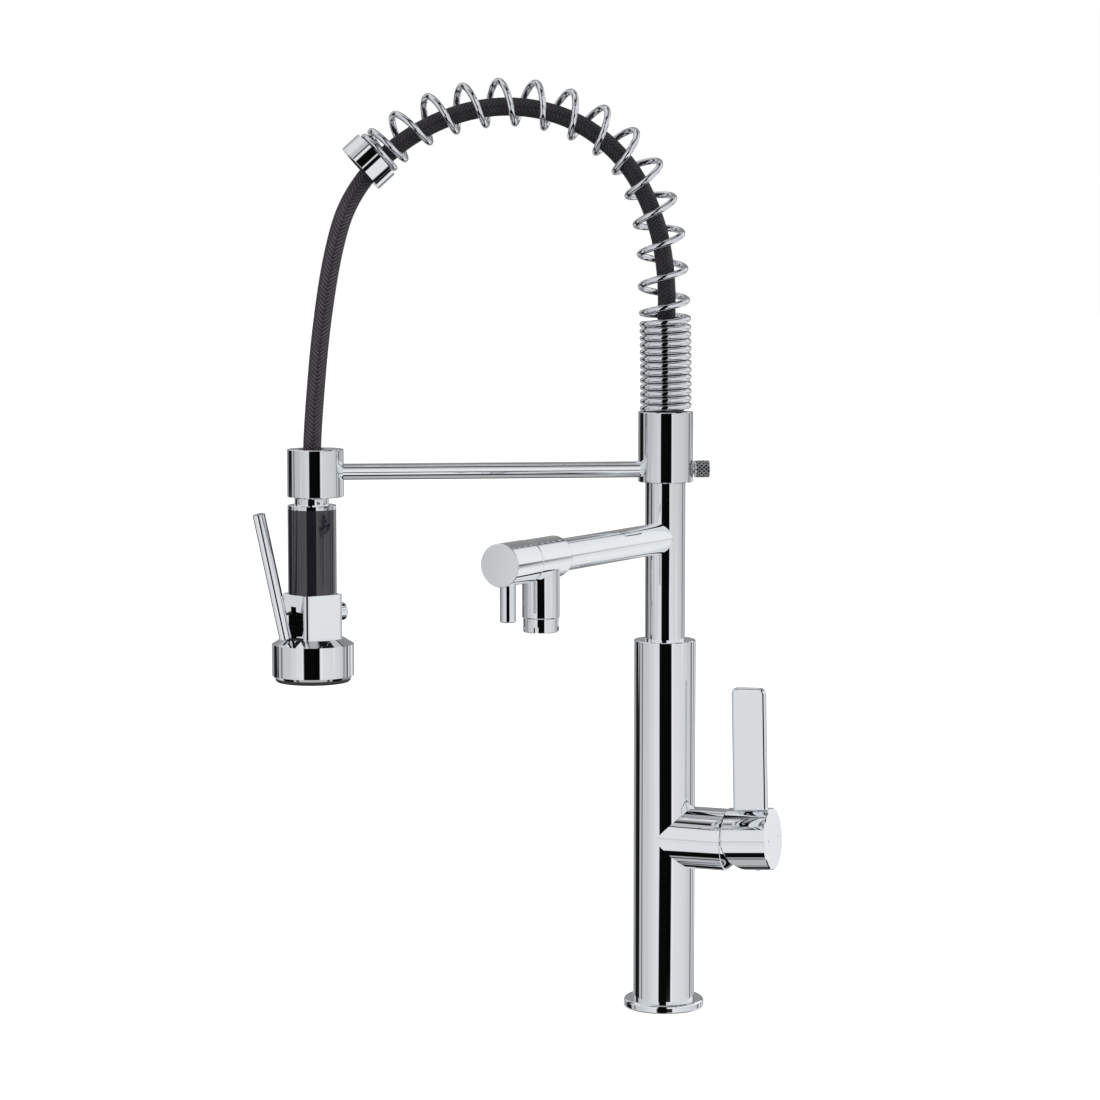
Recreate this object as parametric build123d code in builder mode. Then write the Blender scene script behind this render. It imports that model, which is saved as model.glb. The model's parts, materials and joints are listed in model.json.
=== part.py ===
"""A tall kitchen tap with a spring-carried hand spray and a second, swivelling side spout.

Millimetres, +Z up. The origin is on the column's axis at the deck. The mixer boss points
along +X, the side spout towards the user at -Y, and the spray's arm out to the left.
"""

import os
from math import asin, cos, hypot, radians, sin, tan

from build123d import *

# ---- Clearances -----------------------------------------------------------------------
RUNNING = 0.05  # radial play of a shaft that turns or slides in its bore
SEATED = 0.02  # radial play of a piece that is pressed or glued into its seat
APART = 0.3  # air between pieces that pass or meet on curved faces
PAST = 1.0  # how far a cut or a buried end runs past the face it starts from
SMALL_EDGE = 0.4  # the chamfer of a turned edge
BEND_SHARE = 0.98  # a pipe's bend takes this share of the room it has
HEX_RADIUS = 1.4  # hexagon sockets
HEX_DEPTH = 2.5

# ---- Column and its foot --------------------------------------------------------------
COLUMN_RADIUS = 20.0
COLUMN_TOP = 240.0
COLUMN_BORE = 17.0
FLANGE_RADIUS = 26.0
FLANGE_HEIGHT = 5.5
FLANGE_EDGE = 2.2
FLANGE_FOOT_EDGE = 1.0
SEAL_WIDTH = 4.4
SEAL_HEIGHT = 2.0
INLET_BOTTOM = 2.0
PIPE_PLATE = 8.0  # the plate over the inlet block that the pipes are brazed to
HOSE_PORT_RADIUS = 4.5  # M10x1, cut to its core
HOSE_PORT_DEPTH = 12.0
STUD_PORT_RADIUS = 3.4  # M8, cut to its core
STUD_PORT_OFFSET = 10.0
PIPE_SPREAD = 7.0  # each inlet pipe stands this far to its side
PIPE_OFFSET = 2.0
PIPE_RADIUS = 4.0
PIPE_WALL = 1.0
FEED_RADIUS = 5.0
PLUG_HEIGHT = 18.0  # the plug that seals the mixed water pipe into the riser's bore

# ---- Mixer boss, cartridge and lever --------------------------------------------------
BOSS_HEIGHT = 112.0
BOSS_RADIUS = 20.0
BOSS_REACH = 43.6
POCKET_RADIUS = 16.0
POCKET_FLOOR = 16.0
FLOOR_BACK = 10.0
INLET_DROP = 4.0  # the inlet ports sit this far under the boss axis, the outlet above it
OUTLET_RISE = 7.0
PIVOT_REACH = 33.0  # the lever tilts about this point of the boss axis
LEVER_RAISE = 3.7  # degrees above the boss axis when shut
LEVER_TRAVEL = 22.0  # degrees from shut to full flow
ROTOR_RADIUS = 9.5
ROTOR_BACK = 4.6
ROTOR_FRONT = 6.0
CARTRIDGE_RADIUS = 12.5
CARTRIDGE_FLANGE = 2.0
CARTRIDGE_BASE = 3.0
CARTRIDGE_FLOOR = 3.5
PORT_RADIUS = 2.0
PORT_INSET = 1.0  # the disc's ports stand this much nearer the boss axis than the pipes
CARTRIDGE_NOSE = 39.6
STEM_SIDE = 7.0
STEM_END = 33.0
SLOT_HALF = 6.9  # half the height of the rotor's slot, which the stem tilts in
STEM_NECK = 0.5  # the foot's neck is this much slimmer than its ball
FOOT_ARM = 7.1  # the stem's ball foot stands this far behind the pivot
FOOT_RADIUS = 2.2
PIN_RADIUS = 1.5
DISC_RADIUS = 6.0
DISC_THICKNESS = 5.0
FIXED_DISC = 2.5
NUT_START = 33.0
NUT_END = 42.0
NUT_LIP = 0.6  # how far the nut laps over the rotor
DOME_RADIUS = 21.6
DOME_WALL = 1.0
DOME_HOLE = 11.6  # the tilted stem's corner passes at 10.54
HUB_HOLLOW = DOME_RADIUS + 0.4
HUB_RADIUS = 20.0
HUB_START = 12.5
HUB_LENGTH = 28.5
HUB_CUT_DROP = 9.5  # the 45 degree cut under the hub starts this far below its axis
HUB_EDGE = 0.6
BLADE_WIDTH = 23.0
BLADE_THICKNESS = 5.0
BLADE_START = 14.6
BLADE_FOOT = 17.6  # sunk in the hub's wall
BLADE_TOP = 99.0
BLADE_LEAN = 2.4
BLADE_CORNER = 4.0
BLADE_EDGE = 2.2
SCREW_REACH = 30.0
SCREW_RADIUS = 2.5
SCREW_LENGTH = 8.0
PLUG_PROUD = 0.4
PLUG_EDGE = 0.6

# ---- Riser and side spout -------------------------------------------------------------
RISER_RADIUS = 13.0
RISER_WALL = 2.0
RISER_BOTTOM = 202.0
RISER_SHOULDER = 196.0
RING_GROOVE_DEPTH = 1.6
RING_GROOVE_HEIGHT = 2.6
RETAINER_HEIGHT = 222.0
RETAINER_RADIUS = 2.5
RETAINER_GROOVE = 1.0
RETAINER_AZIMUTH = 90.0
RING_HEIGHTS = (208.0, 232.0)
SPOUT_AZIMUTH = -99.0
SPOUT_HEIGHT = 306.0
SPOUT_RADIUS = 10.0
SPOUT_WALL = 1.5
VALVE_START = 141.0
VALVE_RADIUS = 12.75
VALVE_SHOULDER = 2.4
WATER_STEP = 1.5  # the bore in the valve's body is this much narrower than the spout's
KNOB_START = 177.6
KNOB_END = 207.0
KNOB_RADIUS = 13.0
KNOB_GAP = 0.4
KNOB_POCKET = 5.0
KNOB_SOCKET = 14.0
KNOB_EDGE = 0.5
JOINT_EDGE = 0.8  # the rounded rims on both sides of the knob's joint
KNOB_POCKET_PLAY = 1.0
KNOB_PIN_REACH = 197.5
KNOB_PIN_RADIUS = 4.9
KNOB_PIN_DROP = 34.5
KNOB_PIN_BOTTOM = SPOUT_HEIGHT - KNOB_PIN_DROP
KNOB_PIN_EDGE = 1.0
KNOB_TENON = 2.5
NOZZLE_REACH = 159.0
NOZZLE_RADIUS = 11.5
NOZZLE_DROP = 35.5
NOZZLE_BOTTOM = SPOUT_HEIGHT - NOZZLE_DROP
AERATOR_RADIUS = 10.8
AERATOR_HEIGHT = 8.5
AERATOR_BOTTOM = NOZZLE_BOTTOM - AERATOR_HEIGHT
AERATOR_WALL = 2.6
AERATOR_SEAT = 2.0
AERATOR_TENON = 4.0
AERATOR_RAISE = 1.0
AERATOR_LENGTH = 9.0
AERATOR_HOLE = 0.6
AERATOR_NOTCHES = 4  # for the key that unscrews the aerator
NOTCH_WIDTH = 3.0
NOTCH_DEPTH = 1.6
NOTCH_HEIGHT = 3.6
NOTCH_AZIMUTH = -84.4
AERATOR_RINGS = ((2.4, 6), (5.6, 12))  # radius and count of the insert's holes
SPINDLE_RADIUS = 4.0
HEADWORK_RADIUS = 9.0
HEADWORK_LENGTH = 14.0
HEADWORK_PROUD = 2.0
SPINDLE_TAIL = 2.0
SPINDLE_NOSE = 14.0

# ---- Arm, dock and spring -------------------------------------------------------------
ARM_AZIMUTH = 207.5
ARM_REACH = 224.0
ARM_RISE = 44.0
ARM_HEIGHT = SPOUT_HEIGHT + ARM_RISE
ARM_ROD_RADIUS = 5.2
COLLAR_RADIUS = 17.75
COLLAR_DROP = 8.0
COLLAR_HEIGHT = 45.0
COLLAR_BOTTOM = ARM_HEIGHT - COLLAR_DROP
COLLAR_TOP = COLLAR_BOTTOM + COLLAR_HEIGHT
RISER_INSET = 7.0
RISER_TOP = COLLAR_TOP - RISER_INSET
SCREW_HEAD_RADIUS = 5.15
SCREW_HEAD_LENGTH = 9.4
SCREW_HEAD_GAP = 1.5
SCREW_SHANK_RADIUS = 2.9
SCREW_HEAD_EDGE = 0.5
ROD_BORE = 3.7  # the socket in the collar that takes the rod's tenon
DOCK_RADIUS = 18.0
DOCK_DROP = 15.7
DOCK_HEIGHT = 30.3
DOCK_BOTTOM = ARM_HEIGHT - DOCK_DROP
DOCK_TOP = DOCK_BOTTOM + DOCK_HEIGHT
DOCK_OFFSET = 2.4  # the bore stands this far outside the dock's own centre
DOCK_BORE = 14.4
LINER_WALL = 1.0
DOCK_HOLE = 8.5
HOSE_RADIUS = 5.75
HOLDER_RADIUS = 11.6
HOLDER_HEIGHT = 52.0
HOLDER_TENON = 16.0
FERRULE_RADIUS = 7.5
NIPPLE_RADIUS = 4.0
NIPPLE_LENGTH = 10.0
NIPPLE_WALL = 1.2
WIRE_RADIUS = 2.0
WIRE_SECTION = 1.07 * WIRE_RADIUS  # a hexagon of nearly the round wire's area
CLOSED_COIL = 14.6  # radius of the wire's centre line where the turns lie close
OPEN_COIL = 13.3
CLOSED_PITCH = 4.5
OPEN_PITCH = 21.0
CLOSED_LENGTH = 58.0
PITCH_RAMP = 20.0
END_RAMP = 20.0
END_CLOSED = 8.0
COIL_START = 214.0  # degrees round from the arm at the foot of the spring
SECTIONS_PER_TURN = 12
SLEEVE_RADIUS = 17.0
SLEEVE_LENGTH = 13.3
SLEEVE_LIP = 1.5
SLEEVE_HOLE = 11.8

# ---- Hand spray -----------------------------------------------------------------------
TRIGGER_AZIMUTH = -124.0
NECK_RADIUS = 11.0
NECK_TOP = ARM_HEIGHT  # the hand spray hangs in the dock, so its heights follow the arm
CONE_RADIUS = 12.9
CONE_TOP_RADIUS = 11.6
NECK_STEP = 1.0
SWIVEL_RADIUS = 7.0
SWIVEL_LENGTH = 41.0
SWIVEL_BOTTOM = NECK_TOP - SWIVEL_LENGTH
GRIP_RADIUS = 15.5
GRIP_DROP = 23.5
GRIP_TOP = NECK_TOP - GRIP_DROP
RING_HEIGHT = 2.7
RING_TOP = GRIP_TOP + RING_HEIGHT
RING_SKIRT = 13.0
GRIP_WALL = 2.0
SKIRT_RAISE = 3.0
SKIRT_BOTTOM = SWIVEL_BOTTOM + SKIRT_RAISE
CLIP_WALL = 1.8
RING_EDGE = 0.3
CUP_DROP = 9.0
CUP_BOTTOM = SWIVEL_BOTTOM - CUP_DROP
CUP_RADIUS = 11.0
CUP_FLOOR = 2.0
BLOCK_DROP = 77.4
BLOCK_HEIGHT = 28.2
BLOCK_TOP = NECK_TOP - BLOCK_DROP
BLOCK_BOTTOM = BLOCK_TOP - BLOCK_HEIGHT
BLOCK_DEPTH = 28.0
BLOCK_WIDTH = 30.0
BLOCK_CORNER = 3.0
TUBE_RADIUS = 6.0
TUBE_WALL = 1.5
TUBE_SEAT = 6.0
SLOT_FLOOR = 3.6
SLOT_DROP = 7.6
SLOT_TOP = BLOCK_TOP - SLOT_DROP
SLOT_PLAY = 0.2
SLOT_SILL = 0.5
WATERWAY_OFFSET = 5.0
WATERWAY_RADIUS = 2.5
BELL_RADIUS = 26.25
BELL_NECK = 20.0
BELL_DROP = 3.8
BELL_HEIGHT = 21.6
BELL_SHOULDER = BLOCK_BOTTOM - BELL_DROP
BELL_BOTTOM = BELL_SHOULDER - BELL_HEIGHT
BELL_CHAMFER = 1.6
BELL_WALL = 2.25
FACE_PROUD = 2.5
FACE_THICKNESS = 7.5
FACE_BOTTOM = BELL_BOTTOM - FACE_PROUD
FACE_TOP = FACE_BOTTOM + FACE_THICKNESS
FACE_EDGE = 1.0
BELL_FLOOR = 3.0
BELL_SLOPE = 2.0
NOZZLE_RINGS = ((5.0, 6), (11.5, 12), (18.0, 18))  # radius and count of the spray holes
SPRAY_HOLE = 0.6
CAP_RADIUS = 6.0
CAP_REACH = 23.6
CAP_BACK = -12.4
CAP_EDGE = 2.0
PLUNGER_DROP = 12.6
PLUNGER_HEIGHT = BLOCK_TOP - PLUNGER_DROP
PLUNGER_RADIUS = 2.0
CHAMBER_RADIUS = 4.5
CHAMBER_END = -2.0
HEAD_BACK = -6.0
HEAD_PLAY = 0.6
SPRING_TURNS = 4
SPRING_COIL = 3.0
SPRING_WIRE = 0.35
SPRING_PLAY = 0.05
TRIGGER_PIVOT_RAISE = 4.6
TRIGGER_PIVOT_HEIGHT = BLOCK_BOTTOM + TRIGGER_PIVOT_RAISE
TRIGGER_PIVOT_REACH = 10.8
TRIGGER_PIN_RADIUS = 1.5
TRIGGER_FOOT_DROP = 3.6
TRIGGER_FOOT_HEIGHT = TRIGGER_PIVOT_HEIGHT - TRIGGER_FOOT_DROP
TRIGGER_FOOT_REACH = 20.1
TRIGGER_TOP_REACH = 38.7
TRIGGER_TOP_DROP = 1.5
TRIGGER_TOP_HEIGHT = GRIP_TOP - TRIGGER_TOP_DROP
TRIGGER_RADIUS = 4.0
LUG_WIDTH = 6.0
LUG_NOSE = 6.6  # the lug's nose meets the plunger this far from the spray's axis
LUG_SLOPE = 1.2
LUG_HALF = 3.0
LUG_FOOT = 3.0
LUG_BACK = 2.6
PIN_INSET = 3.0  # the trigger's pin ends this far inside the block's sides
PLUNGER_PLAY = 0.02

# Routes in the arm's upright plane, as (reach, height over the arm), chosen by hand for the
# spray's reach below. The first is the middle line of the spring and the second the hose,
# which hangs inside its turns.
ROUTE_REACH = 226.4
SPRING_ROUTE = [
    (0, 37), (0, 102), (4, 155), (19, 197), (52, 223.5),
    (92, 234.5), (132, 230), (167, 215.5), (194.3, 190.6),
]
HOSE_ROUTE = [
    (0, 56), (0, 84), (-0.9, 122), (6.0, 160), (25.2, 197.4), (59, 223.4),
    (100, 232.0), (140.7, 224.2), (177.4, 202.2), (202.2, 172), (212.5, 138),
    (220, 90), (224.2, 45), (226.4, 12), (226.4, -9),
]
FILLET_SHARE = 0.45  # each arc of a route takes this share of its shorter run

SPRAY_REACH = ARM_REACH + DOCK_OFFSET


def placed(route):
    """A route at the arm's height, stretched to the spray's reach."""
    return [(reach * SPRAY_REACH / ROUTE_REACH, ARM_HEIGHT + height) for reach, height in route]


spring_route = placed(SPRING_ROUTE)
hose_route = placed(HOSE_ROUTE)
hose_foot = hose_route[0][1]
hose_end = hose_route[-1][1]


# ---- Planes ---------------------------------------------------------------------------
def level(height, reach=0.0, azimuth=0.0, facing=0.0):
    """A level plane at a reach and azimuth from the column, its x turned to facing."""
    spot = Vector(reach, 0, height).rotate(Axis.Z, azimuth)
    return Plane(spot, x_dir=Vector(1, 0, 0).rotate(Axis.Z, facing), z_dir=(0, 0, 1))


def upright(azimuth, start=(0, 0, 0)):
    """An upright plane through start, its x pointing outwards and its y upwards."""
    out = Vector(1, 0, 0).rotate(Axis.Z, azimuth)
    return Plane(start, x_dir=out, z_dir=out.cross(Vector(0, 0, 1)))


def outward(azimuth, reach, height):
    """A plane that faces outwards, its y upwards."""
    out = Vector(1, 0, 0).rotate(Axis.Z, azimuth)
    return Plane(out * reach + Vector(0, 0, height), x_dir=Vector(0, 0, 1).cross(out), z_dir=out)


def route_radii(points):
    """The radius of each arc of a route: a share of its shorter run over tan(half turn)."""
    spots = [Vector(*point) for point in points]
    runs = [b - a for a, b in zip(spots, spots[1:])]
    return [
        FILLET_SHARE * min(a.length, b.length) / tan(radians(a.get_angle(b)) / 2)
        for a, b in zip(runs, runs[1:])
    ]


def rims_of(piece, radius):
    """A piece's round edges of one radius, the lowest first."""
    round_edges = piece.edges().filter_by(GeomType.CIRCLE)
    return round_edges.filter_by(lambda rim: abs(rim.radius - radius) < 1e-4).sort_by(Axis.Z)


spray_centre = Vector(SPRAY_REACH, 0, 0).rotate(Axis.Z, ARM_AZIMUTH)
spray_side = upright(TRIGGER_AZIMUTH, spray_centre)
spray_axis = Axis(spray_centre, (0, 0, 1))


def spray_level(height):
    """A level plane on the hand spray's axis, its x towards the trigger."""
    return level(height, SPRAY_REACH, ARM_AZIMUTH, TRIGGER_AZIMUTH)


def spray_out(reach, height):
    """A plane that faces the trigger's way, this far from the hand spray's axis."""
    return Plane(spray_side.from_local_coords((reach, height, 0)),
                 x_dir=(0, 0, 1), z_dir=spray_side.x_dir)


# ---- Column ---------------------------------------------------------------------------
with BuildPart() as column_body:
    with BuildSketch(Plane.XY.offset(FLANGE_HEIGHT)):
        Circle(COLUMN_RADIUS)
    extrude(amount=COLUMN_TOP - FLANGE_HEIGHT)
    chamfer(column_body.edges().group_by(Axis.Z)[-1], SMALL_EDGE)
    with BuildSketch(Plane.YZ):
        with Locations((0, BOSS_HEIGHT)):
            Circle(BOSS_RADIUS)
    extrude(amount=BOSS_REACH)
    with BuildSketch(Plane.XY.offset(FLANGE_HEIGHT)):
        Circle(COLUMN_BORE)
    extrude(amount=RISER_SHOULDER - FLANGE_HEIGHT, mode=Mode.SUBTRACT)
    with BuildSketch(Plane.XY.offset(RISER_SHOULDER)):
        Circle(RISER_RADIUS + RUNNING)
    extrude(amount=COLUMN_TOP - RISER_SHOULDER, mode=Mode.SUBTRACT)
    with BuildSketch(Plane.YZ.offset(FLOOR_BACK)):
        with Locations((0, BOSS_HEIGHT)):
            Circle(POCKET_RADIUS)
    extrude(amount=COLUMN_BORE - FLOOR_BACK)
    with BuildSketch(Plane.YZ.offset(POCKET_FLOOR)):
        with Locations((0, BOSS_HEIGHT)):
            Circle(POCKET_RADIUS)
    extrude(amount=BOSS_REACH - POCKET_FLOOR, mode=Mode.SUBTRACT)
    with BuildSketch(Plane.YZ.offset(FLOOR_BACK)):
        with Locations(
            (PIPE_SPREAD, BOSS_HEIGHT - INLET_DROP), (-PIPE_SPREAD, BOSS_HEIGHT - INLET_DROP)
        ):
            Circle(PIPE_RADIUS - PIPE_WALL)
        with Locations((0, BOSS_HEIGHT + OUTLET_RISE)):
            Circle(FEED_RADIUS - PIPE_WALL)
    extrude(amount=POCKET_FLOOR - FLOOR_BACK, mode=Mode.SUBTRACT)
    with BuildSketch(outward(RETAINER_AZIMUTH, RISER_RADIUS - PAST, RETAINER_HEIGHT)):
        Circle(RETAINER_RADIUS)
    extrude(amount=COLUMN_RADIUS, mode=Mode.SUBTRACT)

with BuildPart() as base_flange:
    with BuildSketch():
        Circle(FLANGE_RADIUS)
        Circle(COLUMN_BORE, mode=Mode.SUBTRACT)
    extrude(amount=FLANGE_HEIGHT)
    fillet(rims_of(base_flange, FLANGE_RADIUS)[-1], FLANGE_EDGE)
    fillet(rims_of(base_flange, FLANGE_RADIUS)[0], FLANGE_FOOT_EDGE)
    with BuildSketch():
        Circle(COLUMN_RADIUS + SEAL_WIDTH)
        Circle(COLUMN_RADIUS, mode=Mode.SUBTRACT)
    extrude(amount=SEAL_HEIGHT, mode=Mode.SUBTRACT)

with BuildPart() as base_seal:
    with BuildSketch():
        Circle(COLUMN_RADIUS + SEAL_WIDTH - SEATED)
        Circle(COLUMN_RADIUS + SEATED, mode=Mode.SUBTRACT)
    extrude(amount=SEAL_HEIGHT)

with BuildPart() as inlet_block:
    with BuildSketch(Plane.XY.offset(INLET_BOTTOM)):
        Circle(COLUMN_BORE - SEATED)
        with Locations((PIPE_OFFSET, PIPE_SPREAD), (PIPE_OFFSET, -PIPE_SPREAD)):
            Circle(HOSE_PORT_RADIUS, mode=Mode.SUBTRACT)
        with Locations((-STUD_PORT_OFFSET, 0)):
            Circle(STUD_PORT_RADIUS, mode=Mode.SUBTRACT)
    extrude(amount=HOSE_PORT_DEPTH)

with BuildPart() as pipe_plate:
    with BuildSketch(Plane.XY.offset(INLET_BOTTOM + HOSE_PORT_DEPTH)):
        Circle(COLUMN_BORE - SEATED)
        with Locations((PIPE_OFFSET, PIPE_SPREAD), (PIPE_OFFSET, -PIPE_SPREAD)):
            Circle(PIPE_RADIUS - PIPE_WALL, mode=Mode.SUBTRACT)
    extrude(amount=PIPE_PLATE)


def inlet_pipe(side):
    """The bent copper pipe from one inlet to its port behind the cartridge."""
    start = (PIPE_OFFSET, side * PIPE_SPREAD, INLET_BOTTOM + HOSE_PORT_DEPTH + PIPE_PLATE)
    corner = (PIPE_OFFSET, side * PIPE_SPREAD, BOSS_HEIGHT - INLET_DROP)
    end = (FLOOR_BACK, side * PIPE_SPREAD, BOSS_HEIGHT - INLET_DROP)
    with BuildPart() as pipe:
        with BuildLine() as path:
            FilletPolyline(start, corner, end, radius=(FLOOR_BACK - PIPE_OFFSET) * BEND_SHARE)
        with BuildSketch(Plane(start)):
            Circle(PIPE_RADIUS)
            Circle(PIPE_RADIUS - PIPE_WALL, mode=Mode.SUBTRACT)
        sweep(path=path.wire())
    return pipe


hot_pipe = inlet_pipe(1)
cold_pipe = inlet_pipe(-1)

with BuildPart() as mixed_pipe:
    with BuildLine() as mixed_path:
        FilletPolyline(
            (FLOOR_BACK, 0, BOSS_HEIGHT + OUTLET_RISE),
            (0, 0, BOSS_HEIGHT + OUTLET_RISE),
            (0, 0, RISER_SHOULDER - PLUG_HEIGHT / 2),
            radius=FLOOR_BACK * BEND_SHARE,
        )
    with BuildSketch(Plane.YZ.offset(FLOOR_BACK)):
        with Locations((0, BOSS_HEIGHT + OUTLET_RISE)):
            Circle(FEED_RADIUS)
            Circle(FEED_RADIUS - PIPE_WALL, mode=Mode.SUBTRACT)
    sweep(path=mixed_path.wire())

with BuildPart() as riser_feed_plug:
    with BuildSketch(Plane.XY.offset(RISER_SHOULDER - PLUG_HEIGHT)):
        Circle(COLUMN_BORE - SEATED)
        Circle(FEED_RADIUS + SEATED, mode=Mode.SUBTRACT)
    extrude(amount=PLUG_HEIGHT / 2)
    with BuildSketch(Plane.XY.offset(RISER_SHOULDER - PLUG_HEIGHT / 2)):
        Circle(COLUMN_BORE - SEATED)
        Circle(FEED_RADIUS - PIPE_WALL, mode=Mode.SUBTRACT)
    extrude(amount=PLUG_HEIGHT / 2)

with BuildPart() as riser_grub_screw:
    with BuildSketch(outward(RETAINER_AZIMUTH, RISER_RADIUS - RETAINER_GROOVE + APART, RETAINER_HEIGHT)):
        Circle(RETAINER_RADIUS - RETAINER_GROOVE)
    extrude(amount=RETAINER_GROOVE)
    with BuildSketch(outward(RETAINER_AZIMUTH, RISER_RADIUS + APART, RETAINER_HEIGHT)):
        Circle(RETAINER_RADIUS - SEATED)
    extrude(amount=COLUMN_RADIUS - RISER_RADIUS - PAST)
    with BuildSketch(outward(RETAINER_AZIMUTH, COLUMN_RADIUS - PAST + APART, RETAINER_HEIGHT)):
        RegularPolygon(HEX_RADIUS, 6)
    extrude(amount=-HEX_DEPTH, mode=Mode.SUBTRACT)

# ---- Cartridge ------------------------------------------------------------------------
pivot = Vector(PIVOT_REACH, 0, BOSS_HEIGHT)
lever_out = Vector(cos(radians(LEVER_RAISE)), 0, sin(radians(LEVER_RAISE)))
lever_plane = Plane(pivot, x_dir=(0, 1, 0), z_dir=lever_out)
cavity_back = POCKET_FLOOR + CARTRIDGE_FLOOR
foot_drop = FOOT_ARM * sin(radians(LEVER_RAISE))


def lever_upright(tilt):
    """The lever's upright middle plane, its x tilted this many degrees above the boss axis."""
    return Plane(pivot, x_dir=(cos(radians(tilt)), 0, sin(radians(tilt))), z_dir=(0, -1, 0))


def boss_plane(reach):
    """A plane across the boss axis, x along +Y and y upwards."""
    return Plane((reach, 0, BOSS_HEIGHT), x_dir=(0, 1, 0), z_dir=(1, 0, 0))


with BuildPart() as cartridge_body:
    with BuildSketch(boss_plane(POCKET_FLOOR)):
        Circle(CARTRIDGE_RADIUS + CARTRIDGE_FLANGE)
    extrude(amount=CARTRIDGE_BASE)
    with BuildSketch(boss_plane(POCKET_FLOOR)):
        Circle(CARTRIDGE_RADIUS)
    extrude(amount=CARTRIDGE_NOSE - POCKET_FLOOR)
    with BuildSketch(boss_plane(cavity_back)):
        Circle(ROTOR_RADIUS + RUNNING)
    extrude(amount=CARTRIDGE_NOSE - cavity_back, mode=Mode.SUBTRACT)
    with BuildSketch(boss_plane(POCKET_FLOOR)):
        with Locations((PIPE_SPREAD, -INLET_DROP), (-PIPE_SPREAD, -INLET_DROP)):
            Circle(PORT_RADIUS)
        with Locations((0, OUTLET_RISE)):
            Circle(PORT_RADIUS)
    extrude(amount=cavity_back - POCKET_FLOOR, mode=Mode.SUBTRACT)

with BuildPart() as fixed_disc:
    with BuildSketch(boss_plane(cavity_back)):
        Circle(ROTOR_RADIUS - SEATED)
        with Locations((PIPE_SPREAD - PORT_INSET, -INLET_DROP), (PORT_INSET - PIPE_SPREAD, -INLET_DROP)):
            Circle(PORT_RADIUS, mode=Mode.SUBTRACT)
        with Locations((0, OUTLET_RISE - PORT_INSET)):
            Circle(PORT_RADIUS, mode=Mode.SUBTRACT)
    extrude(amount=FIXED_DISC)

disc_back = cavity_back + FIXED_DISC
foot_reach = PIVOT_REACH - FOOT_ARM
with BuildPart() as moving_disc:
    with BuildSketch(boss_plane(disc_back)):
        with Locations((0, -foot_drop)):
            Circle(DISC_RADIUS)
    extrude(amount=DISC_THICKNESS)
    with BuildSketch(boss_plane(disc_back + DISC_THICKNESS)):
        with Locations((0, -foot_drop)):
            Rectangle(2 * FOOT_RADIUS + 2 * RUNNING, 2 * FOOT_RADIUS + 4 * RUNNING)
    extrude(amount=foot_reach - FOOT_RADIUS - APART - disc_back - DISC_THICKNESS, mode=Mode.SUBTRACT)

with BuildPart() as cartridge_rotor:
    with BuildSketch(boss_plane(PIVOT_REACH - ROTOR_BACK)):
        Circle(ROTOR_RADIUS)
        Rectangle(STEM_SIDE + 2 * RUNNING, 2 * SLOT_HALF, mode=Mode.SUBTRACT)
    extrude(amount=ROTOR_BACK + ROTOR_FRONT)
    with BuildSketch(Plane(pivot, x_dir=(1, 0, 0), z_dir=(0, 1, 0))):
        Circle(PIN_RADIUS + RUNNING)
    extrude(amount=ROTOR_RADIUS, both=True, mode=Mode.SUBTRACT)

with BuildPart() as cartridge_stem:
    with BuildSketch(lever_plane.offset(FOOT_RADIUS + APART - FOOT_ARM)):
        Rectangle(STEM_SIDE, STEM_SIDE)
    extrude(amount=STEM_END - FOOT_RADIUS - APART + FOOT_ARM)
    with BuildSketch(lever_plane.offset(-FOOT_ARM)):
        Circle(FOOT_RADIUS - STEM_NECK)
    extrude(amount=FOOT_RADIUS + APART)
    with Locations(lever_plane.offset(-FOOT_ARM).location):
        Sphere(FOOT_RADIUS)
    with BuildSketch(Plane(pivot, x_dir=(1, 0, 0), z_dir=(0, 1, 0))):
        Circle(PIN_RADIUS)
    extrude(amount=STEM_SIDE, both=True, mode=Mode.SUBTRACT)

with BuildPart() as stem_pin:
    with BuildSketch(Plane(pivot, x_dir=(1, 0, 0), z_dir=(0, 1, 0))):
        Circle(PIN_RADIUS)
    extrude(amount=ROTOR_RADIUS - PAST, both=True)

with BuildPart() as cartridge_nut:
    with BuildSketch(boss_plane(NUT_START)):
        Circle(POCKET_RADIUS - SEATED)
        Circle(CARTRIDGE_RADIUS + SEATED, mode=Mode.SUBTRACT)
    extrude(amount=CARTRIDGE_NOSE - NUT_START)
    with BuildSketch(boss_plane(CARTRIDGE_NOSE)):
        Circle(POCKET_RADIUS - SEATED)
        Circle(ROTOR_RADIUS - NUT_LIP, mode=Mode.SUBTRACT)
    extrude(amount=NUT_END - CARTRIDGE_NOSE)

with BuildPart() as bonnet:
    with BuildSketch(lever_upright(0)):
        Circle(DOME_RADIUS)
        Circle(DOME_RADIUS - DOME_WALL, mode=Mode.SUBTRACT)
        with Locations((BOSS_REACH - PIVOT_REACH, DOME_HOLE)):
            Rectangle(
                2 * DOME_RADIUS, 2 * DOME_RADIUS,
                align=(Align.MIN, Align.MIN), mode=Mode.INTERSECT,
            )
    revolve(axis=Axis(pivot, (1, 0, 0)))
    with BuildSketch(boss_plane(NUT_END)):
        Circle(POCKET_RADIUS - SEATED)
        Circle(POCKET_RADIUS - DOME_WALL, mode=Mode.SUBTRACT)
    extrude(amount=PIVOT_REACH + DOME_RADIUS * cos(asin(POCKET_RADIUS / DOME_RADIUS)) - NUT_END)

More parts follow.
